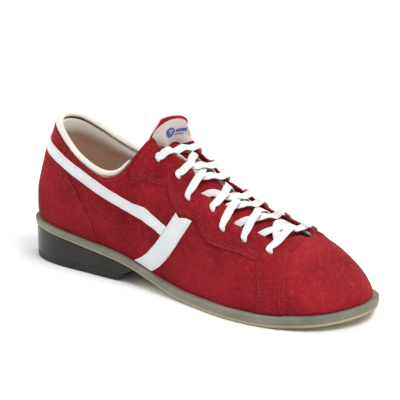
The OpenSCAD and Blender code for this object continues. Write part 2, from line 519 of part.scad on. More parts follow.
function curve3(a, b, c, d, f) = 0.5 * (2 * b + (c - a) * f
  + (2 * a - 5 * b + 4 * c - d) * f * f + (3 * b - a - 3 * c + d) * f * f * f);
function smooth_route(r) = let (n = len(r)) [for (i = [0:n - 2]) for (f = [0, 0.5])
  let (a = r[max(0, i - 1)], b = r[i], c = r[i + 1], d = r[min(n - 1, i + 2)])
  [f == 0 ? b[0] : curve3(a[0], b[0], c[0], d[0], f), mix(b[1], c[1], f),
    mix(b[2], c[2], f), mix(b[3], c[3], f)]];
module ribbon(r) {
  n = len(r);
  rings = [for (i = [0:n - 1]) let (t = unit(r[min(n - 1, i + 1)][0] - r[max(0, i - 1)][0]),
      w = unit(r[i][1] - (r[i][1] * t) * t), d = cross(t, w), a = w * r[i][2], b = d * r[i][3])
    each [r[i][0] + a + b, r[i][0] - a + b, r[i][0] - a - b, r[i][0] + a - b]];
  m = 4;
  faces = concat([for (i = [0:n - 2]) for (k = [0:m - 1]) let (p = i * m + k,
      q = i * m + (k + 1) % m) each [[p, q + m, q], [p, p + m, q + m]]],
    [[0, 1, 2, 3], [for (k = [m - 1:-1:0]) (n - 1) * m + k]]);
  translate(shift) polyhedron(rings, faces);
}
soft = smooth_route(route);
module lace() color("White") ribbon(soft);
module lace_tip(p, q) {
  d = unit(p[0] - q[0]);
  w = unit(p[1] - (p[1] * d) * d);
  translate(shift) ribbon_end(p[0] + 0.1 * d, d, w, 2.2, 0.8, 14);
}
module ribbon_end(p, d, w, hw, ht, l) {
  e = cross(d, w);
  pts = [for (z = [0, l]) for (c = [[1, 0.5], [0.6, 1], [-0.6, 1], [-1, 0.5],
    [-1, -0.5], [-0.6, -1], [0.6, -1], [1, -0.5]]) p + z * d + c.x * hw * w + c.y * ht * e];
  polyhedron(pts, concat([for (k = [0:7]) let (q = (k + 1) % 8)
      each [[k, q + 8, q], [k, k + 8, q + 8]]],
    [[for (k = [0:7]) k], [for (k = [7:-1:0]) k + 8]]));
}
module lace_tips() color("Silver") {
  n = len(soft);
  lace_tip(soft[0], soft[1]);
  lace_tip(soft[n - 1], soft[n - 2]);
}

outsole();
welt();
bottom_filler();
shank();
insole_board();
sockliner();
heel_block();
heel_lift();
heel_nails();
vamp();
quarter_lateral();
quarter_medial();
eyestay_lateral();
eyestay_medial();
heel_counter_cover();
saddle_strap_lateral();
saddle_strap_medial();
collar_band_lateral();
collar_band_medial();
collar_binding();
toe_puff();
heel_stiffener();
collar_foam();
facing_tape_lateral();
facing_tape_medial();
collar_lining();
vamp_lining();
tongue_anchor();
tongue_outer();
tongue_foam();
tongue_lining();
tongue_label();
label_emblem();
lace();
lace_tips();
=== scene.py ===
import math
import bpy
import numpy as np
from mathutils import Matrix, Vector
from mathutils.kdtree import KDTree


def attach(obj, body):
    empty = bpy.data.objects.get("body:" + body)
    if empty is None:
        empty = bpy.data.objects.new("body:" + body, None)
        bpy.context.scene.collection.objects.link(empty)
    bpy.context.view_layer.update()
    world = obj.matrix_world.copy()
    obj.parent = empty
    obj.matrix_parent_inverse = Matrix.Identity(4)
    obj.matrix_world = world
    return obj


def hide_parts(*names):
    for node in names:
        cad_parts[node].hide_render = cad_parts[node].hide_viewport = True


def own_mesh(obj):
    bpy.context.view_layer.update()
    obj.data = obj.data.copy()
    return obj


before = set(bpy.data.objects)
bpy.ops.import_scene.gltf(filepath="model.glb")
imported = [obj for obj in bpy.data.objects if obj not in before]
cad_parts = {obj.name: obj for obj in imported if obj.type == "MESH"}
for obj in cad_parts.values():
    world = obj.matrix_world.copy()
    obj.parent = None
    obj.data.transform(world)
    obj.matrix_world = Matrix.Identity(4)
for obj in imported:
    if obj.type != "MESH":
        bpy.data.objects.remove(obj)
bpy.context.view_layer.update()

FINE = 1.0

# ------------------------------------------------------------------ surface of the upper
# Millimetres from the back of the heel, the same tables as in part.scad.
LEDGE = 4.5
TURNS = 18
SHIFT = np.array([-0.5012 * 292, 3.08, 0.0])
PLAN = [(0, 0), (7, -22), (30, -33), (70, -34.5), (115, -36), (160, -44.5), (205, -52.5),
        (245, -48.5), (275.5, -32), (292, -5), (287, 23), (263, 40), (222, 46.5), (177, 38),
        (130, 27), (85, 28), (40, 32), (9, 23)]
UNDER = [(-10, 26.3), (14, 25.9), (33, 24), (63, 20), (92, 15.8), (110, 11.9), (120, 9.1),
         (146, 2.8), (163, 0.5), (180, 0), (222, 0), (240, 0.7), (254, 1.9), (270, 3.4),
         (285, 5.8), (300, 9)]
OVER = [(-10, 32.4), (14, 31.6), (33, 29.6), (63, 25.8), (92, 21.6), (110, 17.6), (123, 14.2),
        (138, 10.9), (159, 8.2), (180, 7.8), (222, 8.1), (240, 8.9), (254, 10.1), (270, 11.4),
        (285, 13.6), (300, 16.6)]
TOP_LINE = [(0, 17, 0, 111), (0.6, 20, -9, 110.5), (1.2, 27, -17.5, 107), (2, 41, -24.5, 98),
            (2.6, 56, -28, 89), (3.2, 76, -29.5, 82), (3.6, 90, -28, 84), (3.9, 101, -24, 95),
            (4.2, 114, -17, 111.5), (4.5, 122, -12, 106), (5.3, 150, -7, 90.5),
            (6.2, 180, -5, 72.5), (7, 207, -4, 62.5), (7.8, 228, -2, 57), (8.4, 236, 1, 54.5),
            (9, 238.5, 5, 54), (9.6, 236, 11, 54), (10.2, 228, 13, 56), (11, 207, 14, 61.5),
            (11.8, 180, 13, 72), (12.7, 150, 11, 90.5), (13.5, 122, 13, 106.5),
            (13.8, 114, 17, 112), (14.1, 101, 24, 96), (14.4, 90, 28, 86),
            (14.8, 76, 29.5, 84), (15.4, 56, 28, 90.5), (16, 41, 24.5, 98.5),
            (16.8, 27, 17.5, 107), (17.4, 20, 9, 110.5)]
LOW_SWELL = [(0, 5.5, 22), (1, 5, 22), (2, 3, 20), (4, 2, 22), (6, 3, 20), (8, 2, 16),
             (9, 1, 15), (10, 1, 13), (11, 2, 15), (12, 2, 20), (14, 1, 24), (16, 3, 20),
             (17, 5, 22)]
HIGH_SWELL = [(0, -9.5, 0, -28), (1.2, -5, -5, -26), (2, 0, -5, -24), (3.2, 0, -4, -18),
              (3.9, 0, -6, -26), (4.5, 3, -12, -20), (5.3, 3, -22, -16), (6.2, 4, -27, -12),
              (7, 8, -27, -9), (7.8, 18, -21, -6), (8.4, 27, -12, -5), (9, 30, 0, -6),
              (9.6, 24, 8, -6), (10.2, 17, 14, -6), (11, 8, 16, -8), (11.8, 3, 13, -12),
              (12.7, 3, 12, -18), (13.5, 2, 10, -22), (14.1, 0, 5, -26), (14.8, 0, 4, -18),
              (16, 0, 5, -24), (16.8, -5, 5, -26)]
HOLES = [(4.41, 0.839), (4.93, 0.821), (5.21, 0.724), (5.81, 0.772), (6.08, 0.675),
         (6.58, 0.678), (7.13, 0.65)]
FACING_EDGE = [(3.8, 0.86), (4, 0.915), (4.12, 0.933), (4.38, 0.95), (4.55, 0.968),
               (4.8, 0.982), (5.01, 0.984), (5.21, 0.955), (5.32, 0.915), (5.44, 0.825),
               (5.75, 0.862), (6.01, 0.9), (6.15, 0.9), (6.27, 0.845), (6.36, 0.785),
               (6.61, 0.8), (6.9, 0.808), (7.07, 0.796), (7.19, 0.765), (7.47, 0.833),
               (7.89, 0.93), (8.3, 0.985), (9, 0.99)]
UNDER_EDGE = [(3.7, 0.97), (3.9, 0.993), (4.26, 0.996), (4.36, 0.96), (4.5, 0.945), (5, 0.945),
              (5.2, 0.9), (5.44, 0.79), (5.8, 0.81), (6.1, 0.84), (6.36, 0.76), (7, 0.765),
              (7.2, 0.74), (7.5, 0.79), (7.9, 0.9), (8.2, 0.96), (9, 0.985)]
SCALLOP = [(3.8, 0.85), (3.86, 0.8), (4, 0.73), (4.24, 0.658), (4.46, 0.677), (4.68, 0.72),
           (4.78, 0.636), (4.97, 0.573), (5.15, 0.603), (5.42, 0.615), (5.52, 0.549),
           (5.71, 0.509), (5.96, 0.524), (6.44, 0.549), (6.81, 0.534), (7.38, 0.513), (8, 0.5)]
SEAM = [(-0.1, 7.1), (0, 7.11), (0.258, 7.21), (0.513, 7.38), (0.671, 7.52), (0.784, 7.76),
        (0.9, 8.08), (1, 8.3), (1.1, 8.4)]
COUNTER_FRONT = [(0, 3.04), (0.06, 3.02), (0.289, 2.94), (0.598, 2.55), (0.72, 2.2)]
BAND_MID = [(0, 0.772), (0.6, 0.77), (1.2, 0.772), (2, 0.793), (2.6, 0.806), (3, 0.79),
            (3.3, 0.75), (3.6, 0.686), (3.75, 0.622), (3.9, 0.55), (4.05, 0.475), (4.2, 0.425),
            (4.35, 0.412), (4.8, 0.39)]
BAND_HALF = [(0, 0.047), (1.2, 0.051), (2, 0.058), (2.6, 0.07), (3.2, 0.08), (3.6, 0.07),
             (3.9, 0.053), (4.2, 0.038), (4.8, 0.038)]
BAND_END = 4.58
TONGUE_SIDE = [(0, 0.82), (0.07, 0.66), (0.14, 0.6), (0.44, 0.6), (0.62, 0.88), (0.72, 0.96)]


def mix(a, b, f):
    return a + (b - a) * f


def ease(f):
    g = np.clip(f, 0, 1)
    return g * g * (3 - 2 * g)


def unit(v):
    v = np.asarray(v, float)
    return v / np.maximum(np.linalg.norm(v, axis=-1, keepdims=True), 1e-9)


def lookup(tab, x):
    t = np.asarray(tab, float)
    return np.interp(x, t[:, 0], t[:, 1])


def hermite(tab, x, ring=False):
    t = np.asarray(tab, float)
    x = np.asarray(x, float)
    if ring:
        before, after = t[-2:].copy(), t[:3].copy()
        before[:, 0] -= TURNS
        after[:, 0] += TURNS
        t = np.vstack([before, t, after])
        x = x % TURNS
    else:
        x = np.clip(x, t[0, 0], t[-1, 0] - 0.001)
    n = len(t)
    i = np.clip(np.searchsorted(t[:, 0], x, side="right") - 1, 0, n - 2)
    a, d = np.maximum(i - 1, 0), np.minimum(i + 2, n - 1)
    k, v = t[:, 0], t[:, 1:]
    h = (k[i + 1] - k[i])[..., None]
    f = (x - k[i])[..., None] / h
    m0 = (v[i + 1] - v[a]) / (k[i + 1] - k[a])[..., None] * h
    m1 = (v[d] - v[i]) / (k[d] - k[i])[..., None] * h
    return ((2 * f**3 - 3 * f**2 + 1) * v[i] + (f**3 - 2 * f**2 + f) * m0
            + (3 * f**2 - 2 * f**3) * v[i + 1] + (f**3 - f**2) * m1)


def along(tab, x):
    return hermite(tab, x)[..., 0]


def spline(a, b, c, d, f):
    """Between points b and c, with a before them and d after."""
    return 0.5 * (2 * b + (c - a) * f + (2 * a - 5 * b + 4 * c - d) * f**2
                  + (3 * b - a - 3 * c + d) * f**3)


def outline(u):
    p = np.asarray(PLAN, float)
    u = np.asarray(u, float) % TURNS
    i = np.floor(u).astype(int)
    f = (u - i)[..., None]
    return spline(*[p[(i + k) % TURNS] for k in (-1, 0, 1, 2)], f)


def outward(u):
    t = unit(outline(np.asarray(u) + 0.01) - outline(np.asarray(u) - 0.01))
    return np.stack([t[..., 1], -t[..., 0]], -1)


def under_z(x):
    return along(UNDER, x)


def over_z(x):
    return along(OVER, x)


def surf(u, t):
    u, t = np.broadcast_arrays(np.asarray(u, float), np.asarray(t, float))
    n = outward(u)
    q = outline(u) - LEDGE * n
    b = np.concatenate([q, (over_z(q[..., 0]) + 0.2)[..., None]], -1)
    w, s = hermite(LOW_SWELL, u, True), hermite(TOP_LINE, u, True)
    p = b + np.concatenate([n * w[..., :1], w[..., 1:]], -1)
    c = s + hermite(HIGH_SWELL, u, True)
    t = t[..., None]
    r = 1 - t
    return r**3 * b + 3 * r * r * t * p + 3 * r * t * t * c + t**3 * s


def frame_at(u, t):
    u, t = np.broadcast_arrays(np.asarray(u, float), np.asarray(t, float))
    a = surf(u + 0.02, t) - surf(u - 0.02, t)
    b = surf(u, np.minimum(1, t + 0.01)) - surf(u, np.maximum(0, t - 0.01))
    return surf(u, t), unit(np.cross(a, b))


def skin(u, t, o):
    p, n = frame_at(u, t)
    return p + np.asarray(o, float)[..., None] * n


def flip(side, u):
    return u if side == 0 else TURNS - u


HOLE_AT = np.array([surf(flip(s, u), t) for s in (0, 1) for u, t in HOLES])


def relief(p):
    """Slow unevenness of the hide, and the dip where the lace pulls at each hole, in mm."""
    x, y, z = p[..., 0], p[..., 1], p[..., 2]
    wave = (0.09 * np.sin(x / 5.3 + 1.7 * np.sin(z / 9.1)) + 0.08 * np.sin(z / 4.1 + y / 7.7 + 2)
            + 0.06 * np.sin((x + z) / 3.1 + y / 2.9))
    d = np.min(np.linalg.norm(p[..., None, :] - HOLE_AT, axis=-1), axis=-1)
    return wave - 0.55 * np.exp(-((d / 3.6) ** 2))


# ------------------------------------------------------------------ meshes
def new_object(name, verts, faces, body, material, angle=50, row=False):
    me = bpy.data.meshes.new(name)
    pts = np.asarray(verts, float).reshape(-1, 3)
    if not row:
        pts = (pts + SHIFT) / 1000
    me.from_pydata(pts.tolist(), [], [list(map(int, f)) for f in faces])
    me.update()
    me.polygons.foreach_set("use_smooth", [True] * len(me.polygons))
    me.set_sharp_from_angle(angle=math.radians(angle))
    o = bpy.data.objects.new(name, me)
    bpy.context.scene.collection.objects.link(o)
    o.data.materials.append(material)
    if body:
        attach(o, body)
    return o


def put_attribute(o, name, values, kind="FLOAT"):
    a = o.data.attributes.new(name, kind, "POINT")
    field = "vector" if kind == "FLOAT_VECTOR" else "value"
    a.data.foreach_set(field, np.asarray(values, np.float32).ravel())


def quads(n, m, keep=None):
    i, j = np.meshgrid(np.arange(n - 1), np.arange(m - 1), indexing="ij")
    p = i * m + j
    f = np.stack([p, p + m, p + m + 1, p + 1], -1)
    return f[keep] if keep is not None else f.reshape(-1, 4)


def rim_of(f):
    a = f.reshape(-1)
    b = np.roll(f, -1, axis=1).reshape(-1)
    big = int(f.max()) + 1
    lone = ~np.isin(a * big + b, b * big + a)
    return a[lone], b[lone]


def distance_to_rim(p, f):
    a, b = rim_of(f)
    ends = [p[a], (p[a] + p[b]) / 2]
    ends = np.concatenate(ends)
    tree = KDTree(len(ends))
    for i, c in enumerate(ends):
        tree.insert(c, i)
    tree.balance()
    return np.array([tree.find(c)[2] for c in p])


def rounded(d, r):
    """How far a face falls away at distance d from its rim, for a rim of radius r."""
    k = 1 - np.clip(d / r, 0, 1)
    return r * (1 - np.sqrt(np.maximum(0, 1 - k * k)))


def shell(name, p, n, top, bottom, body, material, slot, keep=None, edge=0.5, grooves=(),
          low_edge=0.0, rough=True, angle=50):
    """A closed piece of leather or cloth between two offsets of a surface grid."""
    rows, cols = p.shape[:2]
    f = quads(rows, cols, keep)
    flat, nf = p.reshape(-1, 3), n.reshape(-1, 3)
    d = distance_to_rim(flat, f)
    hi_o = np.broadcast_to(top, (rows, cols)).reshape(-1).astype(float).copy()
    lo_o = np.broadcast_to(bottom, (rows, cols)).reshape(-1).astype(float).copy()
    if rough:
        r = relief(flat)
        hi_o += r
        lo_o += r
    thick = np.maximum(hi_o - lo_o, 0.05)
    hi_o -= np.minimum(rounded(d, edge), thick * 0.8)
    for g in grooves:
        hi_o -= 0.2 * np.exp(-(((d - g) / 0.45) ** 2))
    if low_edge:
        lo_o += np.minimum(rounded(d, low_edge), thick * 0.45)
    a, b = flat + nf * hi_o[:, None], flat + nf * lo_o[:, None]
    k = len(flat)
    ra, rb = rim_of(f)
    faces = np.concatenate([f, f[:, ::-1] + k, np.stack([rb, ra, ra + k, rb + k], -1)])
    used = np.unique(faces)
    new = np.zeros(2 * k, int)
    new[used] = np.arange(len(used))
    o = new_object(name, np.concatenate([a, b])[used], new[faces], body, material, angle)
    put_attribute(o, "rim", np.concatenate([d, d])[used] / 1000)
    return o


def spread(n, size, near=(0, 0.15, 0.4, 0.8, 1.3, 1.9, 2.6, 3.4, 4.4)):
    """Numbers from 0 to 1, close together within a few mm of both ends of a size in mm."""
    e = np.array([x for x in near if x < size * 0.3]) / size
    mid = np.linspace(e[-1], 1 - e[-1], max(3, int(n * FINE)))[1:-1]
    return np.concatenate([e, mid, 1 - e[::-1]])


def merge(parts):
    vs, fs, k = [], [], 0
    for v, f in parts:
        vs.append(v)
        fs += [tuple(x + k for x in q) for q in f]
        k += len(v)
    return np.concatenate(vs), fs


def tube(n, seg):
    """Faces of n rings of seg points, closed at both ends."""
    f = [(i * seg + k, i * seg + (k + 1) % seg, (i + 1) * seg + (k + 1) % seg, (i + 1) * seg + k)
         for i in range(n - 1) for k in range(seg)]
    return f + [tuple(range(seg - 1, -1, -1)), tuple((n - 1) * seg + k for k in range(seg))]


def sides(name, side):
    return f"{name}_{'lateral' if side == 0 else 'medial'}"


def one_side(side, u, t):
    """Grid of one side: the medial side runs the other way so that faces look outward."""
    return (u, t) if side == 0 else (TURNS - u[::-1], t[::-1])


# ------------------------------------------------------------------ materials
class Nodes:
    def __init__(self, name):
        self.m = bpy.data.materials.new(name)
        self.m.use_nodes = True
        self.t = self.m.node_tree
        self.b = self.t.nodes["Principled BSDF"]
        self.where = self.add("ShaderNodeTexCoord").outputs["Object"]

    def add(self, kind, **kw):
        n = self.t.nodes.new(kind)
        for k, v in kw.items():
            setattr(n, k, v)
        return n

    def put(self, sock, v):
        if isinstance(v, bpy.types.NodeSocket):
            self.t.links.new(v, sock)
        else:
            sock.default_value = v

    def noise(self, scale, detail=3.0, rough=0.55, stretch=None, seed=0.0):
        mp = self.add("ShaderNodeMapping")
        self.put(mp.inputs["Vector"], self.where)
        mp.inputs["Location"].default_value = (seed, seed * 0.7, seed * 0.3)
        if stretch:
            mp.inputs["Scale"].default_value = stretch
        n = self.add("ShaderNodeTexNoise")
        self.put(n.inputs["Vector"], mp.outputs[0])
        n.inputs["Scale"].default_value = scale
        n.inputs["Detail"].default_value = detail
        n.inputs["Roughness"].default_value = rough
        return n.outputs["Fac"]

    def voronoi(self, scale, feature="F1"):
        n = self.add("ShaderNodeTexVoronoi", feature=feature)
        self.put(n.inputs["Vector"], self.where)
        n.inputs["Scale"].default_value = scale
        return n.outputs["Distance"]

    def math(self, op, a, b=0.0):
        n = self.add("ShaderNodeMath", operation=op)
        self.put(n.inputs[0], a)
        self.put(n.inputs[1], b)
        return n.outputs[0]

    def range(self, x, a, b, c=0.0, d=1.0):
        n = self.add("ShaderNodeMapRange")
        self.put(n.inputs[0], x)
        for k, v in zip((1, 2, 3, 4), (a, b, c, d)):
            n.inputs[k].default_value = v
        return n.outputs[0]

    def mix(self, f, a, b):
        n = self.add("ShaderNodeMix", data_type="RGBA")
        self.put(n.inputs[0], f)
        self.put(n.inputs[6], a if isinstance(a, bpy.types.NodeSocket) else (*a, 1))
        self.put(n.inputs[7], b if isinstance(b, bpy.types.NodeSocket) else (*b, 1))
        return n.outputs[2]

    def attr(self, name):
        return self.add("ShaderNodeAttribute", attribute_name=name)

    def bump(self, height, distance, strength=1.0):
        n = self.add("ShaderNodeBump")
        n.inputs["Strength"].default_value = strength
        n.inputs["Distance"].default_value = distance
        self.put(n.inputs["Height"], height)
        self.t.links.new(n.outputs[0], self.b.inputs["Normal"])

    def out(self, color=None, rough=None, **kw):
        if color is not None:
            self.put(self.b.inputs["Base Color"], color)
        if rough is not None:
            self.put(self.b.inputs["Roughness"], rough)
        for k, v in kw.items():
            self.put(self.b.inputs[k.replace("_", " ")], v)
        return self.m


def suede(name, deep, base, nap, seed=0.0):
    n = Nodes(name)
    big = n.noise(26, 2, 0.5, seed=seed)
    mid = n.noise(330, 4, 0.62, seed=seed + 3)
    fine = n.noise(1500, 3, 0.7, seed=seed + 5)
    pile = n.noise(700, 3, 0.6, stretch=(1, 1, 0.35), seed=seed + 8)
    c = n.mix(n.range(big, 0.34, 0.68), deep, base)
    c = n.mix(n.math("MULTIPLY", n.range(mid, 0.48, 0.8), 0.6), c, nap)
    c = n.mix(n.math("MULTIPLY", n.range(fine, 0.55, 0.85), 0.3), c, nap)
    c = n.mix(n.math("MULTIPLY", n.range(pile, 0.42, 0.3), 0.45), c, deep)
    rim = n.attr("rim").outputs["Fac"]
    worn = n.math("MULTIPLY", n.range(rim, 0.0009, 0.0, 0.0, 1.0), 0.35)
    c = n.mix(worn, c, nap)
    h = n.math("ADD", n.math("MULTIPLY", mid, 0.5), n.math("MULTIPLY", fine, 0.6))
    h = n.math("ADD", h, n.math("MULTIPLY", pile, 0.5))
    n.bump(h, 0.0006, 0.55)
    return n.out(c, n.range(mid, 0.3, 0.7, 0.82, 0.97), Sheen_Weight=0.12, Sheen_Roughness=0.4,
                 Sheen_Tint=(1.0, 0.3, 0.28, 1), Specular_IOR_Level=0.08)


def smooth_leather(name, base, shade, rough=0.42, grain=420, depth=0.00018, coat=0.0,
                   rim_colour=None, seed=0.0, blend=None):
    n = Nodes(name)
    big = n.noise(34, 3, 0.55, seed=seed)
    cell = n.voronoi(grain * 2.2, "DISTANCE_TO_EDGE")
    crease = n.noise(150, 3, 0.6, seed=seed + 4)
    c = n.mix(n.range(big, 0.35, 0.7), shade, base)
    c = n.mix(n.math("MULTIPLY", n.range(cell, 0.10, 0.0), 0.10), c, shade)
    if rim_colour:
        rim = n.attr("rim").outputs["Fac"]
        c = n.mix(n.math("MULTIPLY", n.range(rim, 0.0006, 0.0), 0.7), c, rim_colour)
    if blend:
        c = n.mix(n.attr(blend[0]).outputs["Fac"], c, blend[1])
    h = n.math("ADD", n.range(cell, 0.0, 0.16), n.math("MULTIPLY", crease, 0.7))
    n.bump(h, depth, 0.6)
    return n.out(c, n.range(crease, 0.3, 0.7, rough - 0.06, rough + 0.1), Coat_Weight=coat,
                 Coat_Roughness=0.25, Specular_IOR_Level=0.4)


def rubber(name, base, shade, rough=0.55, speck=900, seed=0.0):
    n = Nodes(name)
    big = n.noise(30, 3, 0.6, seed=seed)
    lines = n.noise(260, 3, 0.6, stretch=(0.25, 0.25, 3.5), seed=seed + 2)
    fine = n.noise(speck, 3, 0.7, seed=seed + 4)
    c = n.mix(n.range(big, 0.35, 0.68), shade, base)
    c = n.mix(n.math("MULTIPLY", n.range(lines, 0.45, 0.75), 0.35), c, shade)
    c = n.mix(n.math("MULTIPLY", n.range(fine, 0.55, 0.8), 0.2), c, base)
    n.bump(n.math("ADD", n.math("MULTIPLY", lines, 0.8), n.math("MULTIPLY", fine, 0.5)),
           0.0003, 0.5)
    return n.out(c, n.range(fine, 0.3, 0.7, rough - 0.05, rough + 0.12), Specular_IOR_Level=0.35)


def woven(name, base, shade, per_m=1400, rough=0.85, seed=0.0):
    """Plain cloth: over and under threads from two crossing sets of sines, in the object's frame."""
    n = Nodes(name)
    sep = n.add("ShaderNodeSeparateXYZ")
    n.put(sep.inputs[0], n.where)
    wob = n.math("MULTIPLY", n.noise(220, 2, seed=seed), 2.0)
    a = n.math("SINE", n.math("ADD", n.math("MULTIPLY", sep.outputs["X"], per_m * 3.1416), wob))
    yz = n.math("ADD", sep.outputs["Y"], sep.outputs["Z"])
    b = n.math("SINE", n.math("ADD", n.math("MULTIPLY", yz, per_m * 3.1416), wob))
    h = n.math("MULTIPLY", a, b)
    big = n.noise(40, 3, seed=seed + 2)
    c = n.mix(n.range(big, 0.35, 0.7), shade, base)
    c = n.mix(n.math("MULTIPLY", n.range(h, 0.2, -0.9), 0.35), c, shade)
    n.bump(h, 0.00015, 0.6)
    return n.out(c, rough, Sheen_Weight=0.2, Sheen_Roughness=0.5)


def braid(name, base, shade):
    """Flat braided lace: chevrons that meet at the middle, from sv (mm along, -1..1 across)."""
    n = Nodes(name)
    sep = n.add("ShaderNodeSeparateXYZ")
    n.put(sep.inputs[0], n.attr("sv").outputs["Vector"])
    s, v = sep.outputs["X"], sep.outputs["Y"]
    av = n.math("ABSOLUTE", v)
    k = n.math("ADD", n.math("MULTIPLY", s, 5.2), n.math("MULTIPLY", av, -7.0))
    chev = n.math("SINE", k)
    ribs = n.math("SINE", n.math("MULTIPLY", v, 26.0))
    h = n.math("ADD", n.math("MULTIPLY", chev, 0.7), n.math("MULTIPLY", ribs, 0.35))
    fuzz = n.noise(2600, 3, 0.7)
    h = n.math("ADD", h, n.math("MULTIPLY", fuzz, 0.6))
    big = n.noise(60, 2)
    c = n.mix(n.range(h, 0.1, -0.9, 0.0, 0.55), base, shade)
    c = n.mix(n.math("MULTIPLY", n.range(big, 0.5, 0.75), 0.25), c, shade)
    n.bump(h, 0.00022, 0.7)
    return n.out(c, 0.88, Sheen_Weight=0.3, Sheen_Roughness=0.4)


def gloss_black(name):
    n = Nodes(name)
    big = n.noise(24, 3, 0.6)
    scuff = n.noise(180, 5, 0.7, stretch=(0.3, 0.3, 2.0))
    c = n.mix(n.range(big, 0.4, 0.7), (0.003, 0.0022, 0.0018), (0.008, 0.0055, 0.0042))
    c = n.mix(n.math("MULTIPLY", n.range(scuff, 0.62, 0.8), 0.4), c, (0.035, 0.032, 0.028))
    n.bump(scuff, 0.00012, 0.35)
    return n.out(c, n.range(scuff, 0.35, 0.75, 0.12, 0.32), Coat_Weight=0.22, Coat_Roughness=0.06,
                 Specular_IOR_Level=0.3)


def metal(name, base):
    n = Nodes(name)
    s = n.noise(900, 3, 0.6, stretch=(1, 0.05, 1))
    c = n.mix(n.range(s, 0.3, 0.7), tuple(x * 0.75 for x in base), base)
    n.bump(s, 0.00005, 0.4)
    return n.out(c, n.range(s, 0.3, 0.7, 0.28, 0.42), Metallic=1.0)


def foam_like(name, base, shade, scale=1500):
    n = Nodes(name)
    v = n.voronoi(scale)
    g = n.noise(120, 3)
    c = n.mix(n.range(v, 0.1, 0.6), shade, base)
    c = n.mix(n.math("MULTIPLY", g, 0.3), c, shade)
    n.bump(v, 0.0003, 0.6)
    return n.out(c, 0.9)


def thread(name, base, shade):
    n = Nodes(name)
    sep = n.add("ShaderNodeSeparateXYZ")
    n.put(sep.inputs[0], n.attr("sv").outputs["Vector"])
    k = n.math("SINE", n.math("ADD", n.math("MULTIPLY", sep.outputs["X"], 9.0),
                              n.math("MULTIPLY", sep.outputs["Y"], 3.1)))
    g = n.noise(60, 2)
    c = n.mix(n.range(k, -0.6, 0.6), shade, base)
    c = n.mix(n.math("MULTIPLY", g, 0.3), c, shade)
    n.bump(k, 0.0001, 0.6)
    return n.out(c, 0.6, Sheen_Weight=0.15)


RED_DEEP, RED, RED_NAP = (0.16, 0.006, 0.010), (0.29, 0.012, 0.018), (0.44, 0.035, 0.042)
M_SUEDE = suede("suede_red", RED_DEEP, RED, RED_NAP)
M_VAMP = suede("suede_red_vamp", (0.20, 0.010, 0.014), (0.33, 0.017, 0.023),
               (0.49, 0.048, 0.054), 2.0)
M_SUEDE2 = suede("suede_red_bright", (0.18, 0.007, 0.011), (0.31, 0.013, 0.019),
                 (0.46, 0.038, 0.044), 5.0)
M_WHITE = smooth_leather("leather_white", (0.83, 0.85, 0.86), (0.72, 0.75, 0.77), 0.38,
                         rim_colour=(0.90, 0.80, 0.78))
M_CREAM = smooth_leather("leather_cream", (0.86, 0.82, 0.74), (0.76, 0.71, 0.62), 0.5,
                         grain=500, depth=0.00025, seed=4.0)
M_TAN = smooth_leather("lining_tan", (0.82, 0.57, 0.42), (0.70, 0.46, 0.33), 0.55, grain=300,
                       depth=0.0002, seed=7.0, blend=("cream", (0.86, 0.82, 0.74)))
M_WELT = rubber("welt_grey", (0.27, 0.262, 0.215), (0.17, 0.165, 0.13), 0.5)
M_SOLE = rubber("sole_beige", (0.50, 0.44, 0.29), (0.37, 0.32, 0.20), 0.6, seed=3.0)
M_HEEL = gloss_black("heel_black")
M_LIFT = rubber("lift_dark", (0.022, 0.020, 0.018), (0.011, 0.010, 0.009), 0.4, seed=6.0)
M_LACE = braid("lace_white", (0.90, 0.90, 0.89), (0.66, 0.66, 0.66))
M_TIP = smooth_leather("lace_tip_film", (0.78, 0.80, 0.84), (0.62, 0.64, 0.70), 0.15, coat=0.6,
                       seed=9.0)
M_LABEL = woven("label_satin", (0.70, 0.61, 0.58), (0.60, 0.51, 0.48), 2600, 0.55)
M_BLUE = woven("label_print_blue", (0.035, 0.09, 0.36), (0.02, 0.055, 0.25), 2600, 0.5, 3.0)
M_SOCK = woven("sockliner_red", (0.17, 0.012, 0.016), (0.10, 0.006, 0.01), 1100, 0.95, 5.0)
M_THREAD_RED = thread("thread_red", (0.36, 0.024, 0.032), (0.22, 0.010, 0.014))
M_THREAD_WHITE = thread("thread_white", (0.82, 0.83, 0.84), (0.58, 0.60, 0.62))
M_STEEL = metal("steel", (0.55, 0.55, 0.56))
M_CORK = foam_like("cork", (0.42, 0.27, 0.14), (0.25, 0.15, 0.08), 500)
M_BOARD = foam_like("fibre_board", (0.48, 0.36, 0.22), (0.34, 0.25, 0.15), 2400)
M_STIFF = foam_like("stiffening_sheet", (0.68, 0.60, 0.45), (0.55, 0.48, 0.35), 3000)
M_FOAM = foam_like("foam", (0.75, 0.62, 0.30), (0.58, 0.46, 0.20), 1400)
M_TAPE = woven("tape_white", (0.74, 0.74, 0.70), (0.60, 0.60, 0.56), 1500, 0.9, 8.0)

# CAD nodes that stay: the hidden pieces, with materials of their own
for node, mat in {"bottom_filler": M_CORK, "shank": M_STEEL, "insole_board": M_BOARD,
                  "toe_puff": M_STIFF, "heel_stiffener": M_STIFF, "collar_foam": M_FOAM,
                  "facing_tape_lateral": M_TAPE, "facing_tape_medial": M_TAPE,
                  "tongue_anchor": M_SUEDE, "heel_nails": M_STEEL}.items():
    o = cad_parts[node]
    o.data.materials.clear()
    o.data.materials.append(mat)

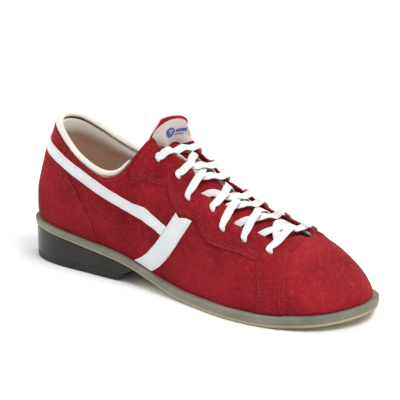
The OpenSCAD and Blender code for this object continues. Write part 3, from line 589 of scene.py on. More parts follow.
# ------------------------------------------------------------------ camera, light, floor
AZ, EL = math.radians(34.4), math.radians(19.25)
target = Vector((-0.00035, 0.00308, 0.045))
back = Vector((math.sin(AZ) * math.cos(EL), -math.cos(AZ) * math.cos(EL), math.sin(EL)))
cam = bpy.data.objects.new("camera", bpy.data.cameras.new("camera"))
bpy.context.scene.collection.objects.link(cam)
cam.location = target + back * 1.427
cam.rotation_mode = "QUATERNION"
cam.rotation_quaternion = (-back).to_track_quat("-Z", "Y")
cam.data.sensor_width = 36
cam.data.lens = 1917 / 400 * 36
cam.data.shift_x, cam.data.shift_y = 0.0009, 0.063
cam.data.clip_start, cam.data.clip_end = 0.05, 50
bpy.context.scene.camera = cam
bpy.context.scene.view_settings.view_transform = "Standard"


def light(name, at, size, energy):
    d = bpy.data.lights.new(name, "AREA")
    d.shape, d.size, d.energy = "DISK", size, energy
    o = bpy.data.objects.new(name, d)
    bpy.context.scene.collection.objects.link(o)
    o.location = at
    o.rotation_mode = "QUATERNION"
    o.rotation_quaternion = (Vector(at) - Vector((0, 0, 0.05))).to_track_quat("Z", "Y")


light("key", (0.9, -0.1, 1.6), 1.1, 21)
light("fill", (-1.7, -0.2, 0.9), 1.3, 17)
light("rim", (0.2, 1.5, 1.2), 1.0, 8)
world = bpy.data.worlds.new("studio")
bpy.context.scene.world = world
world.use_nodes = True
world.node_tree.nodes["Background"].inputs[0].default_value = (1, 1, 1, 1)
world.node_tree.nodes["Background"].inputs[1].default_value = 0.6

floor_mat = Nodes("floor_pale")
g = floor_mat.noise(3.0, 3)
floor_mat.out(floor_mat.mix(g, (0.93, 0.93, 0.93), (0.96, 0.96, 0.96)), 0.9)
floor = new_object("floor", [(-6, -6, 0), (6, -6, 0), (6, 6, 0), (-6, 6, 0)], [(0, 1, 2, 3)],
                   None, floor_mat.m, row=True)


# ------------------------------------------------------------------ sole
def ring_slab(name, inset, top_z, bottom_z, material, edge_top=0.6, edge_low=0.6,
              hollow=None, groove=None, seg=4):
    """A slab with the sole's outline, rounded edges, and z as functions of x. With hollow it's a ring."""
    n = int(420 * FINE)
    u = np.linspace(0, TURNS, n, endpoint=False)
    o2, w = outline(u), outward(u)
    prof = []  # (distance in from the edge, height share from bottom to top, z shift in mm)
    for a in np.linspace(0, math.pi / 2, seg + 1):
        prof.append((edge_low * (1 - math.sin(a)), 0, edge_low * (1 - math.cos(a))))
    mids = np.linspace(0, 1, 7)[1:-1]
    for k in mids:
        cut = 0 if groove is None else groove[1] * math.exp(-(((k - groove[0]) / 0.07) ** 2))
        prof.append((cut, k, 0))
    for a in np.linspace(math.pi / 2, 0, seg + 1):
        prof.append((edge_top * (1 - math.sin(a)), 1, -edge_top * (1 - math.cos(a))))
    deep = hollow if hollow else max(edge_top, edge_low) + 2.0
    prof.append((deep, 1, 0))
    prof.insert(0, (deep, 0, 0))
    rings = []
    for d, k, s in prof:
        p = o2 - (inset + d) * w
        x = p[:, 0]
        zb, zt = bottom_z(x), top_z(x)
        rings.append(np.stack([p[:, 0], p[:, 1], mix(zb, zt, k) + s], -1))
    m = len(prof)
    v = np.stack(rings, 1).reshape(-1, 3)
    faces = []
    for i in range(n):
        j = (i + 1) % n
        for k in range(m - 1):
            faces.append((i * m + k, j * m + k, j * m + k + 1, i * m + k + 1))
        if hollow:
            faces.append((i * m + m - 1, j * m + m - 1, j * m, i * m))
    if not hollow:
        # close the top and the underside with strips from one side to the other
        h, c = n // 2, 12
        verts = list(v)
        for k, fn, up in ((m - 1, top_z, True), (0, bottom_z, False)):
            ids = np.zeros((h + 1, c + 1), int)
            for i in range(h + 1):
                a, b = i % n, (n - i) % n
                for q in range(c + 1):
                    if q == 0:
                        ids[i, q] = a * m + k
                    elif q == c:
                        ids[i, q] = b * m + k
                    elif a == b:
                        ids[i, q] = a * m + k
                    else:
                        p = mix(v[a * m + k], v[b * m + k], q / c)
                        p[2] = fn(p[0])
                        ids[i, q] = len(verts)
                        verts.append(p)
            for i in range(h):
                for q in range(c):
                    f = [ids[i, q], ids[i, q + 1], ids[i + 1, q + 1], ids[i + 1, q]]
                    f = [x for e, x in enumerate(f) if x != f[e - 1]]
                    if len(f) > 2:
                        faces.append(f[::-1] if up else f)
        v = np.array(verts)
    return new_object(name, v, faces, "shoe", material, 40)


def mid_z(x):
    return mix(under_z(x), over_z(x), 0.36)


outsole = ring_slab("outsole_rubber", 0.6, lambda x: mid_z(x) - 0.05, under_z, M_SOLE,
                    0.5, 0.8)
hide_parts("outsole")
welt = ring_slab("welt_strip", 0.0, over_z, mid_z, M_WELT, 0.9, 0.6, hollow=12,
                 groove=(0.5, 0.12))
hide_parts("welt")
sock = ring_slab("sockliner_cloth", LEDGE + 5, lambda x: over_z(x) + 5.0,
                 lambda x: over_z(x) + 2.1, M_SOCK, 0.8, 0.3)
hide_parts("sockliner")

LIFT = 6.0


def heel_part(name, inset, x_at, z_at, levels, material, flare=0.0):
    """Heel piece: level k has its front edge at x_at(k) and lies at height z_at(k, x)."""
    n = int(150 * FINE)
    uu = np.linspace(-3.95, 3.95, n)
    verts, faces = [], []
    for k, d in levels:
        xf = x_at(k)
        o2 = outline(uu) - (inset + d + flare * k) * outward(uu)
        keepx = np.minimum(o2[:, 0], xf - d)
        # points past the front slide back along the outline's own side
        y = o2[:, 1].copy()
        past = o2[:, 0] > xf - d
        for s in (-1, 1):
            sel = past & (np.sign(uu) == s)
            ok = (~past) & (np.sign(uu) == s)
            if sel.any():
                edge = np.argmax(np.where(ok, o2[:, 0], -1e9))
                y[sel] = o2[edge, 1]
        p = np.stack([keepx, y, np.zeros(n)], -1)
        p[:, 2] = z_at(k, p[:, 0])
        verts.append(p)
    rows, m = len(verts), n
    v = list(np.concatenate(verts))
    for r in range(rows - 1):
        for i in range(m - 1):
            a = r * m + i
            faces.append((a, a + m, a + m + 1, a + 1))
    # the front face and both lids are strips between the two sides
    h, c = m // 2, 10

    def strip(row_a, reverse):
        ids = np.zeros((h, c + 1), int)
        for i in range(h):
            a, b = row_a * m + i, row_a * m + m - 1 - i
            for q in range(c + 1):
                if q in (0, c):
                    ids[i, q] = a if q == 0 else b
                else:
                    ids[i, q] = len(v)
                    v.append(mix(v[a], v[b], q / c))
        for i in range(h - 1):
            for q in range(c):
                f = (ids[i, q], ids[i, q + 1], ids[i + 1, q + 1], ids[i + 1, q])
                faces.append(f[::-1] if reverse else f)
        f = (ids[h - 1, 0], *[ids[h - 1, q] for q in range(1, c)], ids[h - 1, c])
        if m % 2:
            f = f + (row_a * m + h,)
        faces.append(f[::-1] if reverse else f)
        return ids[0]

    low_ids = strip(0, False)
    high_ids = strip(rows - 1, True)
    prev = low_ids
    for r in range(1, rows):
        if r == rows - 1:
            cur = high_ids
        else:
            a, b = r * m, r * m + m - 1
            cur = [a]
            for q in range(1, c):
                cur.append(len(v))
                v.append(mix(v[a], v[b], q / c))
            cur.append(b)
        for q in range(c):
            faces.append((prev[q], cur[q], cur[q + 1], prev[q + 1])[::-1])
        prev = cur
    return new_object(name, np.array(v), faces, "shoe", material, 45)


def rim_levels(r_low, r_top, mids=4):
    out = [(0, r_low * (1 - math.sin(a)), r_low * (1 - math.cos(a)))
           for a in np.linspace(0, math.pi / 2, 4)]
    out += [(k, 0, 0) for k in np.linspace(0, 1, mids + 2)[1:-1]]
    out += [(1, r_top * (1 - math.sin(a)), -r_top * (1 - math.cos(a)))
            for a in np.linspace(math.pi / 2, 0, 4)]
    return out


def heel_levels(name, inset, front_low, front_top, zb, zt, r_low, r_top, material):
    lv = rim_levels(r_low, r_top)
    shift_at = {i: s for i, (k, d, s) in enumerate(lv)}
    keys = [(i, d) for i, (k, d, s) in enumerate(lv)]
    share = [k for k, d, s in lv]
    return heel_part(name, inset, lambda i: mix(front_low, front_top, share[i]),
                     lambda i, x: mix(zb(x), zt(x), share[i]) + shift_at[i], keys, material)


lift = heel_levels("heel_top_piece", 1.3, 92, 92 + 9 * LIFT / 7, lambda x: x * 0,
                   lambda x: x * 0 + LIFT, 0.7, 0.3, M_LIFT)
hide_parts("heel_lift")
block = heel_levels("heel_block_gloss", 1.0, 92 + 9 * LIFT / 7, 110, lambda x: x * 0 + LIFT + 0.05,
                    lambda x: under_z(x) - 0.05, 0.35, 0.6, M_HEEL)
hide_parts("heel_block")


# ------------------------------------------------------------------ upper
def rim_t(u):
    h = hermite(HIGH_SWELL, u, True)
    return 1 - 1.08 / np.linalg.norm(h, axis=-1)


def base_seam(t):
    return along(SEAM, t) - 0.24


def panel(name, u, t, top, bottom, material, slot, **kw):
    p, n = frame_at(u, t)
    return shell(name, p, n, top, bottom, "shoe", material, slot, **kw)


BASE, OVER_T = 1.2, 1.15
# vamp
a, b = np.meshgrid(np.linspace(0, 1, int(190 * FINE)), spread(80, 90), indexing="ij")
t = b * 0.985
s = base_seam(t) + 0.012
vamp = panel("vamp_suede", mix(s, TURNS - s, a), t, 0, -BASE, M_VAMP, "red_suede", edge=0.8)
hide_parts("vamp")

# small perforations in the vamp: no holes are cut, dark discs just above the surface are painted shade
# for the holes' dark insides
dots = []
for u, t in ((8.07, 0.355), (8.43, 0.291), (9.93, 0.355), (9.57, 0.291)):
    p, nn = frame_at(np.array(u), np.array(t))
    e1 = unit(np.cross(nn, [0, 0, 1.0]))
    e2 = np.cross(nn, e1)
    w = np.linspace(0, 2 * math.pi, 14, endpoint=False)
    rings = [p + nn * (relief(p) + 0.07) + q * (e1 * np.cos(w)[:, None] + e2 * np.sin(w)[:, None])
             for q in (0.62, 0.3)]
    dots.append((np.concatenate(rings),
                 [(i, (i + 1) % 14, 14 + (i + 1) % 14, 14 + i) for i in range(14)]
                 + [tuple(range(14, 28))]))
dots_v, dots_f = merge(dots)
new_object("vamp_perforation_painted_shade", dots_v, dots_f, "shoe", M_LIFT)


COLLAR_END, QUARTER_TURN, QUARTER_END = 3.89, 4.6, 7.92  # all in u


def quarter_u(c, t):
    """Columns stand upright up to the facing, then lean forward to meet the vamp's seam."""
    lean = (c - QUARTER_TURN) / (QUARTER_END - QUARTER_TURN)
    return np.where(c <= QUARTER_TURN, c, mix(QUARTER_TURN, base_seam(t) - 0.012, lean))


def quarter_top(side, u):
    return np.where(u < COLLAR_END, rim_t(flip(side, u)), lookup(UNDER_EDGE, u))


for side in (0, 1):
    # quarter
    a, b = np.meshgrid(np.linspace(0.003, 1, int(330 * FINE)), spread(56, 80), indexing="ij")
    c = a * QUARTER_END
    t = b * quarter_top(side, c)
    u = quarter_u(c, t)
    q = panel(sides("quarter_suede", side), *one_side(side, u, t), 0, -BASE, M_SUEDE,
              "red_suede", edge=0.4)
    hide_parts(sides("quarter", side))

# heel counter cover, one piece round the heel
a, b = np.meshgrid(spread(200, 190), spread(44, 60), indexing="ij")
t = mix(0.012, 0.715, b)
e = lookup(COUNTER_FRONT, t)
counter = panel("heel_counter_suede", mix(-e, e, a), t, OVER_T, -0.05, M_SUEDE, "red_suede",
                edge=0.6, grooves=(1.7, 3.3))
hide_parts("heel_counter_cover")


BAND_FROM = 24 / 29  # share of the facing's length where its band down to the welt starts


def facing_uv(s, f, band):
    """s 0..1 from the back of the facing to its front; f 0..1 up the facing, or up the band."""
    lu, hu = mix(3.9, 7.38, s), mix(3.9, 8.25, s)
    lt, ht = lookup(SCALLOP, lu), lookup(FACING_EDGE, hu)
    bu = mix(6.53, 7.11, (s - BAND_FROM) / (1 - BAND_FROM))
    t = np.where(band, mix(0.015, lt, f), mix(lt, ht, f))
    u = np.where(band, mix(bu, lu, f), mix(lu, hu, f))
    lim = along(SEAM, t)
    return np.minimum(u, lim - 0.58 * (1 - s)), t


def strap_uv(s, f):
    """s 0..1 across the slanted strap, f 0..1 up it."""
    hu = mix(4.9, 5.3, s)
    ht = lookup(SCALLOP, hu) - 0.02
    return mix(mix(3.85, 4.23, s), hu, f), mix(0.015, ht, f)


def strap_rear(t):
    ht = float(lookup(SCALLOP, 4.9)) - 0.02
    return mix(3.85, 4.9, (t - 0.015) / (ht - 0.015))


def band_uv(a, b):
    """a 0..1 along the collar band from the heel to the strap, b -1..1 across it."""
    x = mix(0.01, BAND_END, a)
    t = along(BAND_MID, x) + lookup(BAND_HALF, x) * b
    return x + ease((a - 0.85) / 0.15) * (strap_rear(t) - 0.008 - BAND_END), t


for side in (0, 1):
    back_s = spread(150, 175) * BAND_FROM
    front_s = BAND_FROM + spread(26, 27) * (1 - BAND_FROM)
    ss = np.concatenate([back_s, front_s[1:]])
    ib = len(back_s) - 1
    band_f, face_f = spread(26, 50), spread(24, 26)
    nb = len(band_f) - 1
    ff = np.concatenate([band_f, face_f[1:] + 1])
    S, F = np.meshgrid(ss, ff, indexing="ij")
    band = F < 1
    u, t = facing_uv(S, np.where(band, F, F - 1), band)
    keep = np.zeros((len(ss) - 1, len(ff) - 1), bool)
    keep[:, nb:] = True
    keep[ib:, :] = True
    if side == 1:
        u, t, keep = TURNS - u[::-1], t[::-1], keep[::-1]
    p, n = frame_at(u, t)
    eye = shell(sides("eyestay_suede", side), p, n, OVER_T + 0.15, -0.05, "shoe", M_SUEDE2,
                "red_suede_bright", keep=keep, edge=0.65, grooves=(1.6, 3.4))
    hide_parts(sides("eyestay", side))

    # plain white strap and collar band
    a, b = np.meshgrid(spread(20, 15), spread(90, 60), indexing="ij")
    u, t = strap_uv(a, b)
    strap = panel(sides("saddle_strap_leather", side), *one_side(side, u, t), 1.05, -0.05,
                  M_WHITE, "white_leather", edge=0.5, grooves=(1.5,))
    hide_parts(sides("saddle_strap", side))
    a, b = np.meshgrid(spread(190, 190), spread(12, 9, (0, 0.15, 0.4, 0.8, 1.3, 1.9)),
                       indexing="ij")
    u, t = band_uv(a, 2 * b - 1)
    band_o = panel(sides("collar_band_leather", side), *one_side(side, u, t), 1.05, -0.05,
                   M_WHITE, "white_leather", edge=0.5, grooves=(1.3,))
    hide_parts(sides("collar_band", side))

# collar roll
n, m = int(420 * FINE), 28
uu = np.linspace(-3.86, 3.86, n)
p, nn = frame_at(uu, np.ones(n))
d = unit(surf(uu, 1.0) - surf(uu, 0.97))
r = 3.0
w = np.linspace(0, 2 * math.pi, m, endpoint=False)
pucker = 1 + 0.025 * np.sin(uu * 61) + 0.02 * np.sin(uu * 37 + 1)
taper = ease((3.9 - np.abs(uu)) / 0.12) * 0.35 + 0.65
size = (taper * pucker)[:, None]
ring = (p[:, None] + nn[:, None] * (r * np.cos(w) * size - r + 0.6)[..., None]
        + d[:, None] * (2.0 * np.sin(w) * size - 0.1)[..., None])
binding = new_object("collar_roll", ring.reshape(-1, 3), tube(n, m), "shoe", M_CREAM,
                     60)
put_attribute(binding, "rim", np.full(n * m, 0.01))
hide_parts("collar_binding")

# linings
LAYER1 = BASE + 0.4
LAYER2 = LAYER1 + 1.0 + 0.4


def pad_depth(u, t):
    x = np.abs(np.where(u > TURNS / 2, u - TURNS, u))
    return 1.6 * ease((t - 0.7) / 0.18) * (1 - ease((x - 3.5) / 0.5))


def lining_depth(u, t):
    x = np.abs(np.where(u > TURNS / 2, u - TURNS, u))
    return mix(LAYER2, LAYER1 + 0.9, ease((t - 0.45) / 0.15) * ease((x - 3.9) / 0.5)) + pad_depth(u, t)


a, b = np.meshgrid(np.linspace(-1, 1, int(420 * FINE)), np.linspace(0, 1, int(60 * FINE)),
                   indexing="ij")
c = np.abs(a) * QUARTER_END
top_t = np.where(a < 0, quarter_top(1, c), quarter_top(0, c)) - 0.006
t = mix(0.006, top_t, b)
u = np.where(a < 0, -1, 1) * quarter_u(c, t)
dep = lining_depth(u, t)
below = (top_t - t) * 80  # about mm down from the top line
puff = 1.0 * np.sin(math.pi * np.clip((below + 1) / 14, 0, 1)) ** 0.7 * (1 - ease((c - 3.4) / 0.4))
p, nn = frame_at(u, t)
lining = shell("collar_lining_leather", p, nn, -dep + pad_depth(u, t), -dep - 0.8 - puff, "shoe",
               M_TAN, "tan_lining", edge=0.2, rough=False)
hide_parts("collar_lining", "collar_foam")
cream = ((1 - ease((below - 8) / 9)) * (1 - ease((c - 3.5) / 0.5))).reshape(-1)
used = np.unique(np.concatenate([quads(*t.shape), quads(*t.shape) + t.size]))
put_attribute(lining, "cream", np.concatenate([cream, cream])[used])

a, b = np.meshgrid(np.linspace(0, 1, int(120 * FINE)), np.linspace(0, 1, int(60 * FINE)), indexing="ij")
t = mix(0.004, 0.97, b)
s = base_seam(t) + 0.02
vl = panel("vamp_lining_leather", mix(s, TURNS - s, a), t, -LAYER2, -LAYER2 - 0.8, M_TAN,
           "tan_lining", rough=False, edge=0.2)
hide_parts("vamp_lining")

# ------------------------------------------------------------------ tongue
SPLIT, U_LOW, U_HIGH, T_GAP = 0.72, 8.3, 4.6, 6.3


def bez(f):
    return 2 * f**3 - 3 * f**2 + 1, f**3 - 2 * f**2 + f, 3 * f**2 - 2 * f**3, f**3 - f**2


def tongue_under(s, v):
    s, v = np.broadcast_arrays(np.asarray(s, float), np.asarray(v, float))
    u = mix(U_LOW, U_HIGH, s / SPLIT)
    lo = lookup(TONGUE_SIDE, s)
    d = -T_GAP * np.ones_like(u)
    a, b = skin(u, 0.97, d), skin(TURNS - u, 0.97, d)
    ta, tb = unit(a - skin(u, 0.94, d)), unit(skin(TURNS - u, 0.94, d) - b)
    c = np.linalg.norm(b - a, axis=-1, keepdims=True)
    f = np.clip((v - 0.3) / 0.4, 0, 1)[..., None]
    h = bez(f)
    mid = h[0] * a + h[1] * c * ta + h[2] * b + h[3] * c * tb
    left = skin(u, mix(lo, 0.97, np.clip(v / 0.3, 0, 1)), d)
    right = skin(TURNS - u, mix(0.97, lo, np.clip((v - 0.7) / 0.3, 0, 1)), d)
    return np.where((v < 0.3)[..., None], left, np.where((v > 0.7)[..., None], right, mid))


def tongue_top(v):
    y = 2 * v - 1
    return np.stack([126.8 - 1.5 * y * y + 3 * y, 1 + 12 * y, 126.3 - 4 * y * y - 3.2 * y], -1)


def tongue_pt(s, v):
    s, v = np.broadcast_arrays(np.asarray(s, float), np.asarray(v, float))
    f = np.clip((s - SPLIT) / (1 - SPLIT), 0, 1)[..., None]
    sp = np.full_like(s, SPLIT)
    a = tongue_under(sp, v)
    ta = 16 * unit(a - tongue_under(sp - 0.02, v))
    h = bez(f)
    stand = h[0] * a + h[1] * ta + h[2] * tongue_top(v) + h[3] * np.array([1.0, 0, 22])
    flare = ease((s - 0.79) / 0.08) * (1 - 0.5 * ease((s - 0.88) / 0.12))
    right = np.clip(2 * v - 1, 0, 1)
    low = ease((s - 0.765) / 0.05) * (1 - 0.75 * ease((s - 0.86) / 0.12))
    wide = mix(0.6 * flare, 0.75 * low, ease(right))
    stand[..., 1] = 1.0 + (stand[..., 1] - 1.0) * (1 + wide)
    stand[..., 0] -= 9 * (2 * v - 1) ** 2 * flare - 11 * right**2 * low
    stand[..., 2] -= 5 * (2 * v - 1) ** 4 * flare
    return np.where((s <= SPLIT)[..., None], tongue_under(np.minimum(s, SPLIT), v), stand)


def tongue_frame(s, v):
    s, v = np.broadcast_arrays(np.asarray(s, float), np.asarray(v, float))
    a = tongue_pt(np.minimum(1, s + 0.015), v) - tongue_pt(np.maximum(0, s - 0.015), v)
    b = tongue_pt(s, np.minimum(1, v + 0.015)) - tongue_pt(s, np.maximum(0, v - 0.015))
    return tongue_pt(s, v), -unit(np.cross(a, b))


def tongue_half(s):
    """Half the tongue's width as a share of the whole, narrower near the top."""
    return 0.5 * (1 - 0.15 * ease((s - 0.88) / 0.12))


gi, gj = np.meshgrid(spread(110, 110), spread(44, 30), indexing="ij")
s = 1 - gi
p, nn = tongue_frame(s, 0.5 + tongue_half(s) * (2 * gj - 1))
puff = 0.5 * np.sin(math.pi * gj) * ease((s - 0.74) / 0.1)
t_out = shell("tongue_suede", p, nn, puff - 0.05, -1.25, "tongue", M_SUEDE2, "red_suede_bright",
              edge=1.0, grooves=(2.4,), low_edge=0.1)
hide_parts("tongue_outer")
t_pad = shell("tongue_pad_lining", p, nn, -1.2, -6.2, "tongue", M_CREAM, "cream_leather",
              edge=0.9, low_edge=2.2, rough=False)
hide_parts("tongue_foam", "tongue_lining")

# label: a plain woven patch with a rounded top, a ball roundel and a bar on it
label_rim = (0, 0.1, 0.25, 0.5, 0.9, 1.4)
a, b = np.meshgrid(spread(26, 19, label_rim), spread(36, 14, label_rim), indexing="ij")
LS0, LS1, LV0, LV1 = 0.765, 0.977, 0.04, 0.93
s = LS1 - (LS1 - LS0) * (1 - (1 - a) * (1 - 0.16 * (2 * b - 1) ** 4 - 0.05 * (2 * b - 1) ** 2))
v = mix(LV0, LV1, b)
p, nn = tongue_frame(s, v)
label = shell("tongue_label_patch", p, nn, 1.0, 0.1, "tongue", M_LABEL, "label_fabric", edge=0.3,
              rough=False)
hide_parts("tongue_label")


def on_label(x, y, o):
    """x across and y up the label in mm from its middle, measured flat so that circles stay round."""
    sc, vc, e = 0.872, 0.52, 1e-4
    x, y = np.broadcast_arrays(np.asarray(x, float), np.asarray(y, float))
    mid = tongue_pt(sc, vc)
    across = unit(tongue_pt(sc, vc + 0.02) - tongue_pt(sc, vc - 0.02))
    up = tongue_pt(sc + 0.01, vc) - tongue_pt(sc - 0.01, vc)
    up = unit(up - (up @ across) * across)
    s, v = np.full(x.shape, sc), np.full(x.shape, vc)
    for _ in range(5):
        q = tongue_pt(s, v)
        qs, qv = (tongue_pt(s + e, v) - q) / e, (tongue_pt(s, v + e) - q) / e
        ex, ey = x - (q - mid) @ across, y - (q - mid) @ up
        m = [[qs @ across, qv @ across], [qs @ up, qv @ up]]
        det = m[0][0] * m[1][1] - m[0][1] * m[1][0]
        s = np.clip(s + 0.8 * (m[1][1] * ex - m[0][1] * ey) / det, LS0 + 0.004, LS1 - 0.004)
        v = np.clip(v + 0.8 * (m[0][0] * ey - m[1][0] * ex) / det, LV0 + 0.02, LV1 - 0.02)
    q, nq = tongue_frame(s, v)
    return q + nq * np.asarray(o)[..., None]


def disc(cx, cy, r, o0, o1, seg=40, rings=5):
    v, f = [], []
    w = np.linspace(0, 2 * math.pi, seg, endpoint=False)
    for k in range(1, rings + 1):
        rr = r * k / rings
        top = o1 if k < rings else o1 - 0.05
        v.append(on_label(cx + rr * np.cos(w), cy + rr * np.sin(w), np.full(seg, top)))
    v.append(on_label(cx + r * np.cos(w), cy + r * np.sin(w), np.full(seg, o0)))
    c = on_label(np.array([cx]), np.array([cy]), np.array([o1]))
    v = np.concatenate([c] + v)
    for i in range(seg):
        j = (i + 1) % seg
        f.append((0, 1 + i, 1 + j))
        for k in range(rings):
            a = 1 + k * seg
            f.append((a + i, a + seg + i, a + seg + j, a + j))
    f.append(tuple(1 + rings * seg + i for i in range(seg - 1, -1, -1)))
    return v, f


def bar_at(cx, cy, w, h, o0, o1, n=14):
    x = np.linspace(-w / 2, w / 2, n)
    p, f = [], []
    for y in (-h / 2, -h / 2 + 0.3, h / 2 - 0.3, h / 2):
        p.append(on_label(cx + x, np.full(n, cy + y), np.full(n, o1)))
    for y in (h / 2, -h / 2):
        p.append(on_label(cx + x, np.full(n, cy + y), np.full(n, o0)))
    v = np.concatenate(p)
    for r in range(6):
        q = (r + 1) % 6
        for i in range(n - 1):
            f.append((r * n + i, r * n + i + 1, q * n + i + 1, q * n + i))
    f.append(tuple(r * n for r in range(6)))
    f.append(tuple(r * n + n - 1 for r in range(5, -1, -1)))
    return v, f


ball = disc(-6.6, 0.0, 4.2, 0.9, 1.2)
holes_v = merge([disc(-6.6 + dx, dy, 0.7, 1.15, 1.26, 16, 2)
                 for dx, dy in ((-1.2, 1.5), (1.0, 1.9), (0.1, -0.2))])
bars = merge([ball, bar_at(4.6, 0.9, 11.6, 2.8, 0.9, 1.2), bar_at(3.6, -2.4, 9.6, 0.9, 0.9, 1.2)])
emblem = new_object("label_roundel", bars[0], bars[1], "tongue", M_BLUE, 40)
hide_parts("label_emblem")
finger = new_object("label_roundel_holes", holes_v[0], holes_v[1], "tongue", M_LABEL,
                    40)

# ------------------------------------------------------------------ lace
O_TOP = 0.4 + 1.0 + 0.5 + 0.55
O_LOW = -(LAYER1 + 0.25 + 0.4 + 0.8 + 0.8 + 0.55)
FLAT, FOLD, THIN, THICK = 3.0, 1.5, 0.55, 0.75


def edge_t(u):
    return float(lookup(FACING_EDGE, u))


def on(side, u, t, o, hw, ht):
    fu = flip(side, u)
    wd = unit(surf(flip(side, u - 0.05), t) - surf(flip(side, u + 0.05), t))
    return [skin(np.array(fu), np.array(t), np.array(o)), wd, hw, ht]


def over_tongue(u, v, o, hw):
    s = (U_LOW - u) * SPLIT / (U_LOW - U_HIGH)
    p, n = tongue_frame(np.array(s), np.array(v))
    wd = unit(tongue_pt(s + 0.02, v) - tongue_pt(s - 0.02, v))
    return [p + o * n, wd, hw, THIN]


def rise(side, k):
    u, t = HOLES[k]
    return [on(side, u, t + 0.035, O_LOW, FOLD + 0.5, THIN),
            on(side, u, t + 0.008, O_LOW + 0.6, FOLD, THICK), on(side, u, t, -1.6, FOLD, THICK),
            on(side, u, t, 0.4, FOLD, THICK), on(side, u, t + 0.01, O_TOP - 0.3, FOLD + 0.5, THICK),
            on(side, u, t + 0.035, O_TOP + 0.15, FOLD + 0.9, THIN)]


def go_over(side, k, u):
    hu, ht = HOLES[k]
    return [on(side, mix(hu, u, f), mix(ht, 1, f), O_TOP + 0.3 + 0.4 * f, FLAT, THIN)
            for f in (0.35, 0.72)]


def go_under(side, k, u):
    hu, ht = HOLES[k]
    e = edge_t(u)
    return [on(side, u, e - 0.01, O_LOW, FLAT, THIN),
            on(side, mix(u, hu, 0.55), mix(e, ht + 0.035, 0.55), O_LOW, FLAT - 0.6, THIN)]


def edge_mid(side, u):
    return on(side, u, 0.999, 2.7, FLAT, THIN)


def edge_in(side, u):
    return on(side, u, (edge_t(u) + 1) / 2 + 0.01, -3.1, FLAT, THIN)


def across(a, k, p, q):
    z = (3.9 if a == 1 else 2.5) + (0.9 if k == 1 else 0)
    d = 1 if a == 0 else -1
    return [over_tongue(mix(p, q, 0.5 + 2.5 * f), 0.5 + d * f, z, FLAT) for f in (-0.13, 0, 0.13)]


def strand(a, k):
    p = HOLES[k][0] + (0.2 if a == 0 else 0.42)
    q = p - 0.22
    e = HOLES[k - 1][0] + (0.42 if a == 0 else 0.25)
    start = (go_under(a, k, p)[::-1] + [edge_in(a, p)] if k == 6
             else go_over(a, k, p) + [edge_mid(a, p)])
    return (start + across(a, k, p, q) + [edge_in(1 - a, mix(e, q, 0.5))]
            + go_under(1 - a, k - 1, e) + rise(1 - a, k - 1))


def half_lace(a):
    out = rise(a, 6)[::-1]
    for k in range(6, 0, -1):
        out += strand((k + a) % 2, k)
    return out


bar_r = (go_over(1, 6, 7.86) + [edge_mid(1, 7.88), over_tongue(7.86, 0.62, 7, FLAT),
                                over_tongue(7.8, 0.38, 7, FLAT), edge_mid(0, 7.74)]
         + go_over(0, 6, 7.72)[::-1])
end_a = (go_over(0, 0, 4.66) + [edge_mid(0, 4.69)]
         + [over_tongue(u, v, o, FLAT) for u, v, o in ((4.74, 0.37, 5.2), (4.78, 0.5, 5.4),
                                                       (4.82, 0.63, 5.2))]
         + [on(1, u, t, O_TOP + o, hw, THIN) for u, t, o, hw in (
             (4.84, 0.999, 1.2, FLAT), (4.8, 0.93, 0.8, FLAT), (4.72, 0.84, 0.2, FLAT),
             (4.64, 0.74, 0, FLAT), (4.58, 0.64, 0, FLAT), (4.54, 0.54, 0, 2.8))])
end_b = [on(1, 4.4, 0.8, O_TOP + 0.1, FOLD + 0.6, THIN), on(1, 4.38, 0.74, O_TOP, 3, THIN),
         on(1, 4.36, 0.66, O_TOP, 3, THIN), on(1, 4.35, 0.58, O_TOP, 3, THIN),
         on(1, 4.34, 0.5, O_TOP, 2.8, THIN)]
route = (half_lace(1)[:-1] + end_b)[::-1] + bar_r + half_lace(0) + end_a


def ribbon(route, sub, name, body):
    c = np.array([r[0] for r in route])
    w = np.array([r[1] for r in route])
    hw = np.array([r[2] for r in route], float)
    ht = np.array([r[3] for r in route], float)
    for i in range(1, len(w)):  # keep one sense of width all along
        if w[i] @ w[i - 1] < 0:
            w[i] = -w[i]
    n = len(c)
    x = np.linspace(0, n - 1, (n - 1) * sub + 1)
    i = np.minimum(x.astype(int), n - 2)
    f = (x - i)[:, None]
    pos = spline(c[np.maximum(i - 1, 0)], c[i], c[i + 1], c[np.minimum(i + 2, n - 1)], f)
    g = ease(f)
    wd = mix(w[i], w[i + 1], g)
    hwx = mix(hw[i], hw[i + 1], g[:, 0])
    htx = mix(ht[i], ht[i + 1], g[:, 0])
    for _ in range(2):
        pos[1:-1] = 0.25 * pos[:-2] + 0.5 * pos[1:-1] + 0.25 * pos[2:]
    tan = unit(np.gradient(pos, axis=0))
    wd = unit(wd - (wd * tan).sum(-1, keepdims=True) * tan)
    nd = np.cross(tan, wd)
    seg = 16
    k = np.linspace(0, 2 * math.pi, seg, endpoint=False)
    cx = np.sign(np.cos(k)) * np.abs(np.cos(k)) ** 0.75
    cy = np.sign(np.sin(k)) * np.abs(np.sin(k)) ** 0.6 * (1 + 0.25 * np.abs(np.cos(k)))
    s_len = np.concatenate([[0], np.cumsum(np.linalg.norm(np.diff(pos, axis=0), axis=1))])
    edge_wave = 1 + 0.02 * np.sin(s_len * 2.6)
    bow = 0.10 * np.sin(s_len / 5.0)
    v = (pos[:, None] + wd[:, None] * (hwx * edge_wave)[:, None, None] * cx[None, :, None]
         + nd[:, None] * (htx[:, None] * cy[None, :] + bow[:, None] * (1 - cx[None, :] ** 2))[..., None])
    m = len(pos)
    o = new_object(name, v.reshape(-1, 3), tube(m, seg), body, M_LACE, 70)
    sv = np.zeros((m, seg, 3))
    sv[..., 0] = s_len[:, None]
    sv[..., 1] = cx[None, :]
    put_attribute(o, "sv", sv, "FLOAT_VECTOR")
    return o, pos, tan, wd, nd, s_len


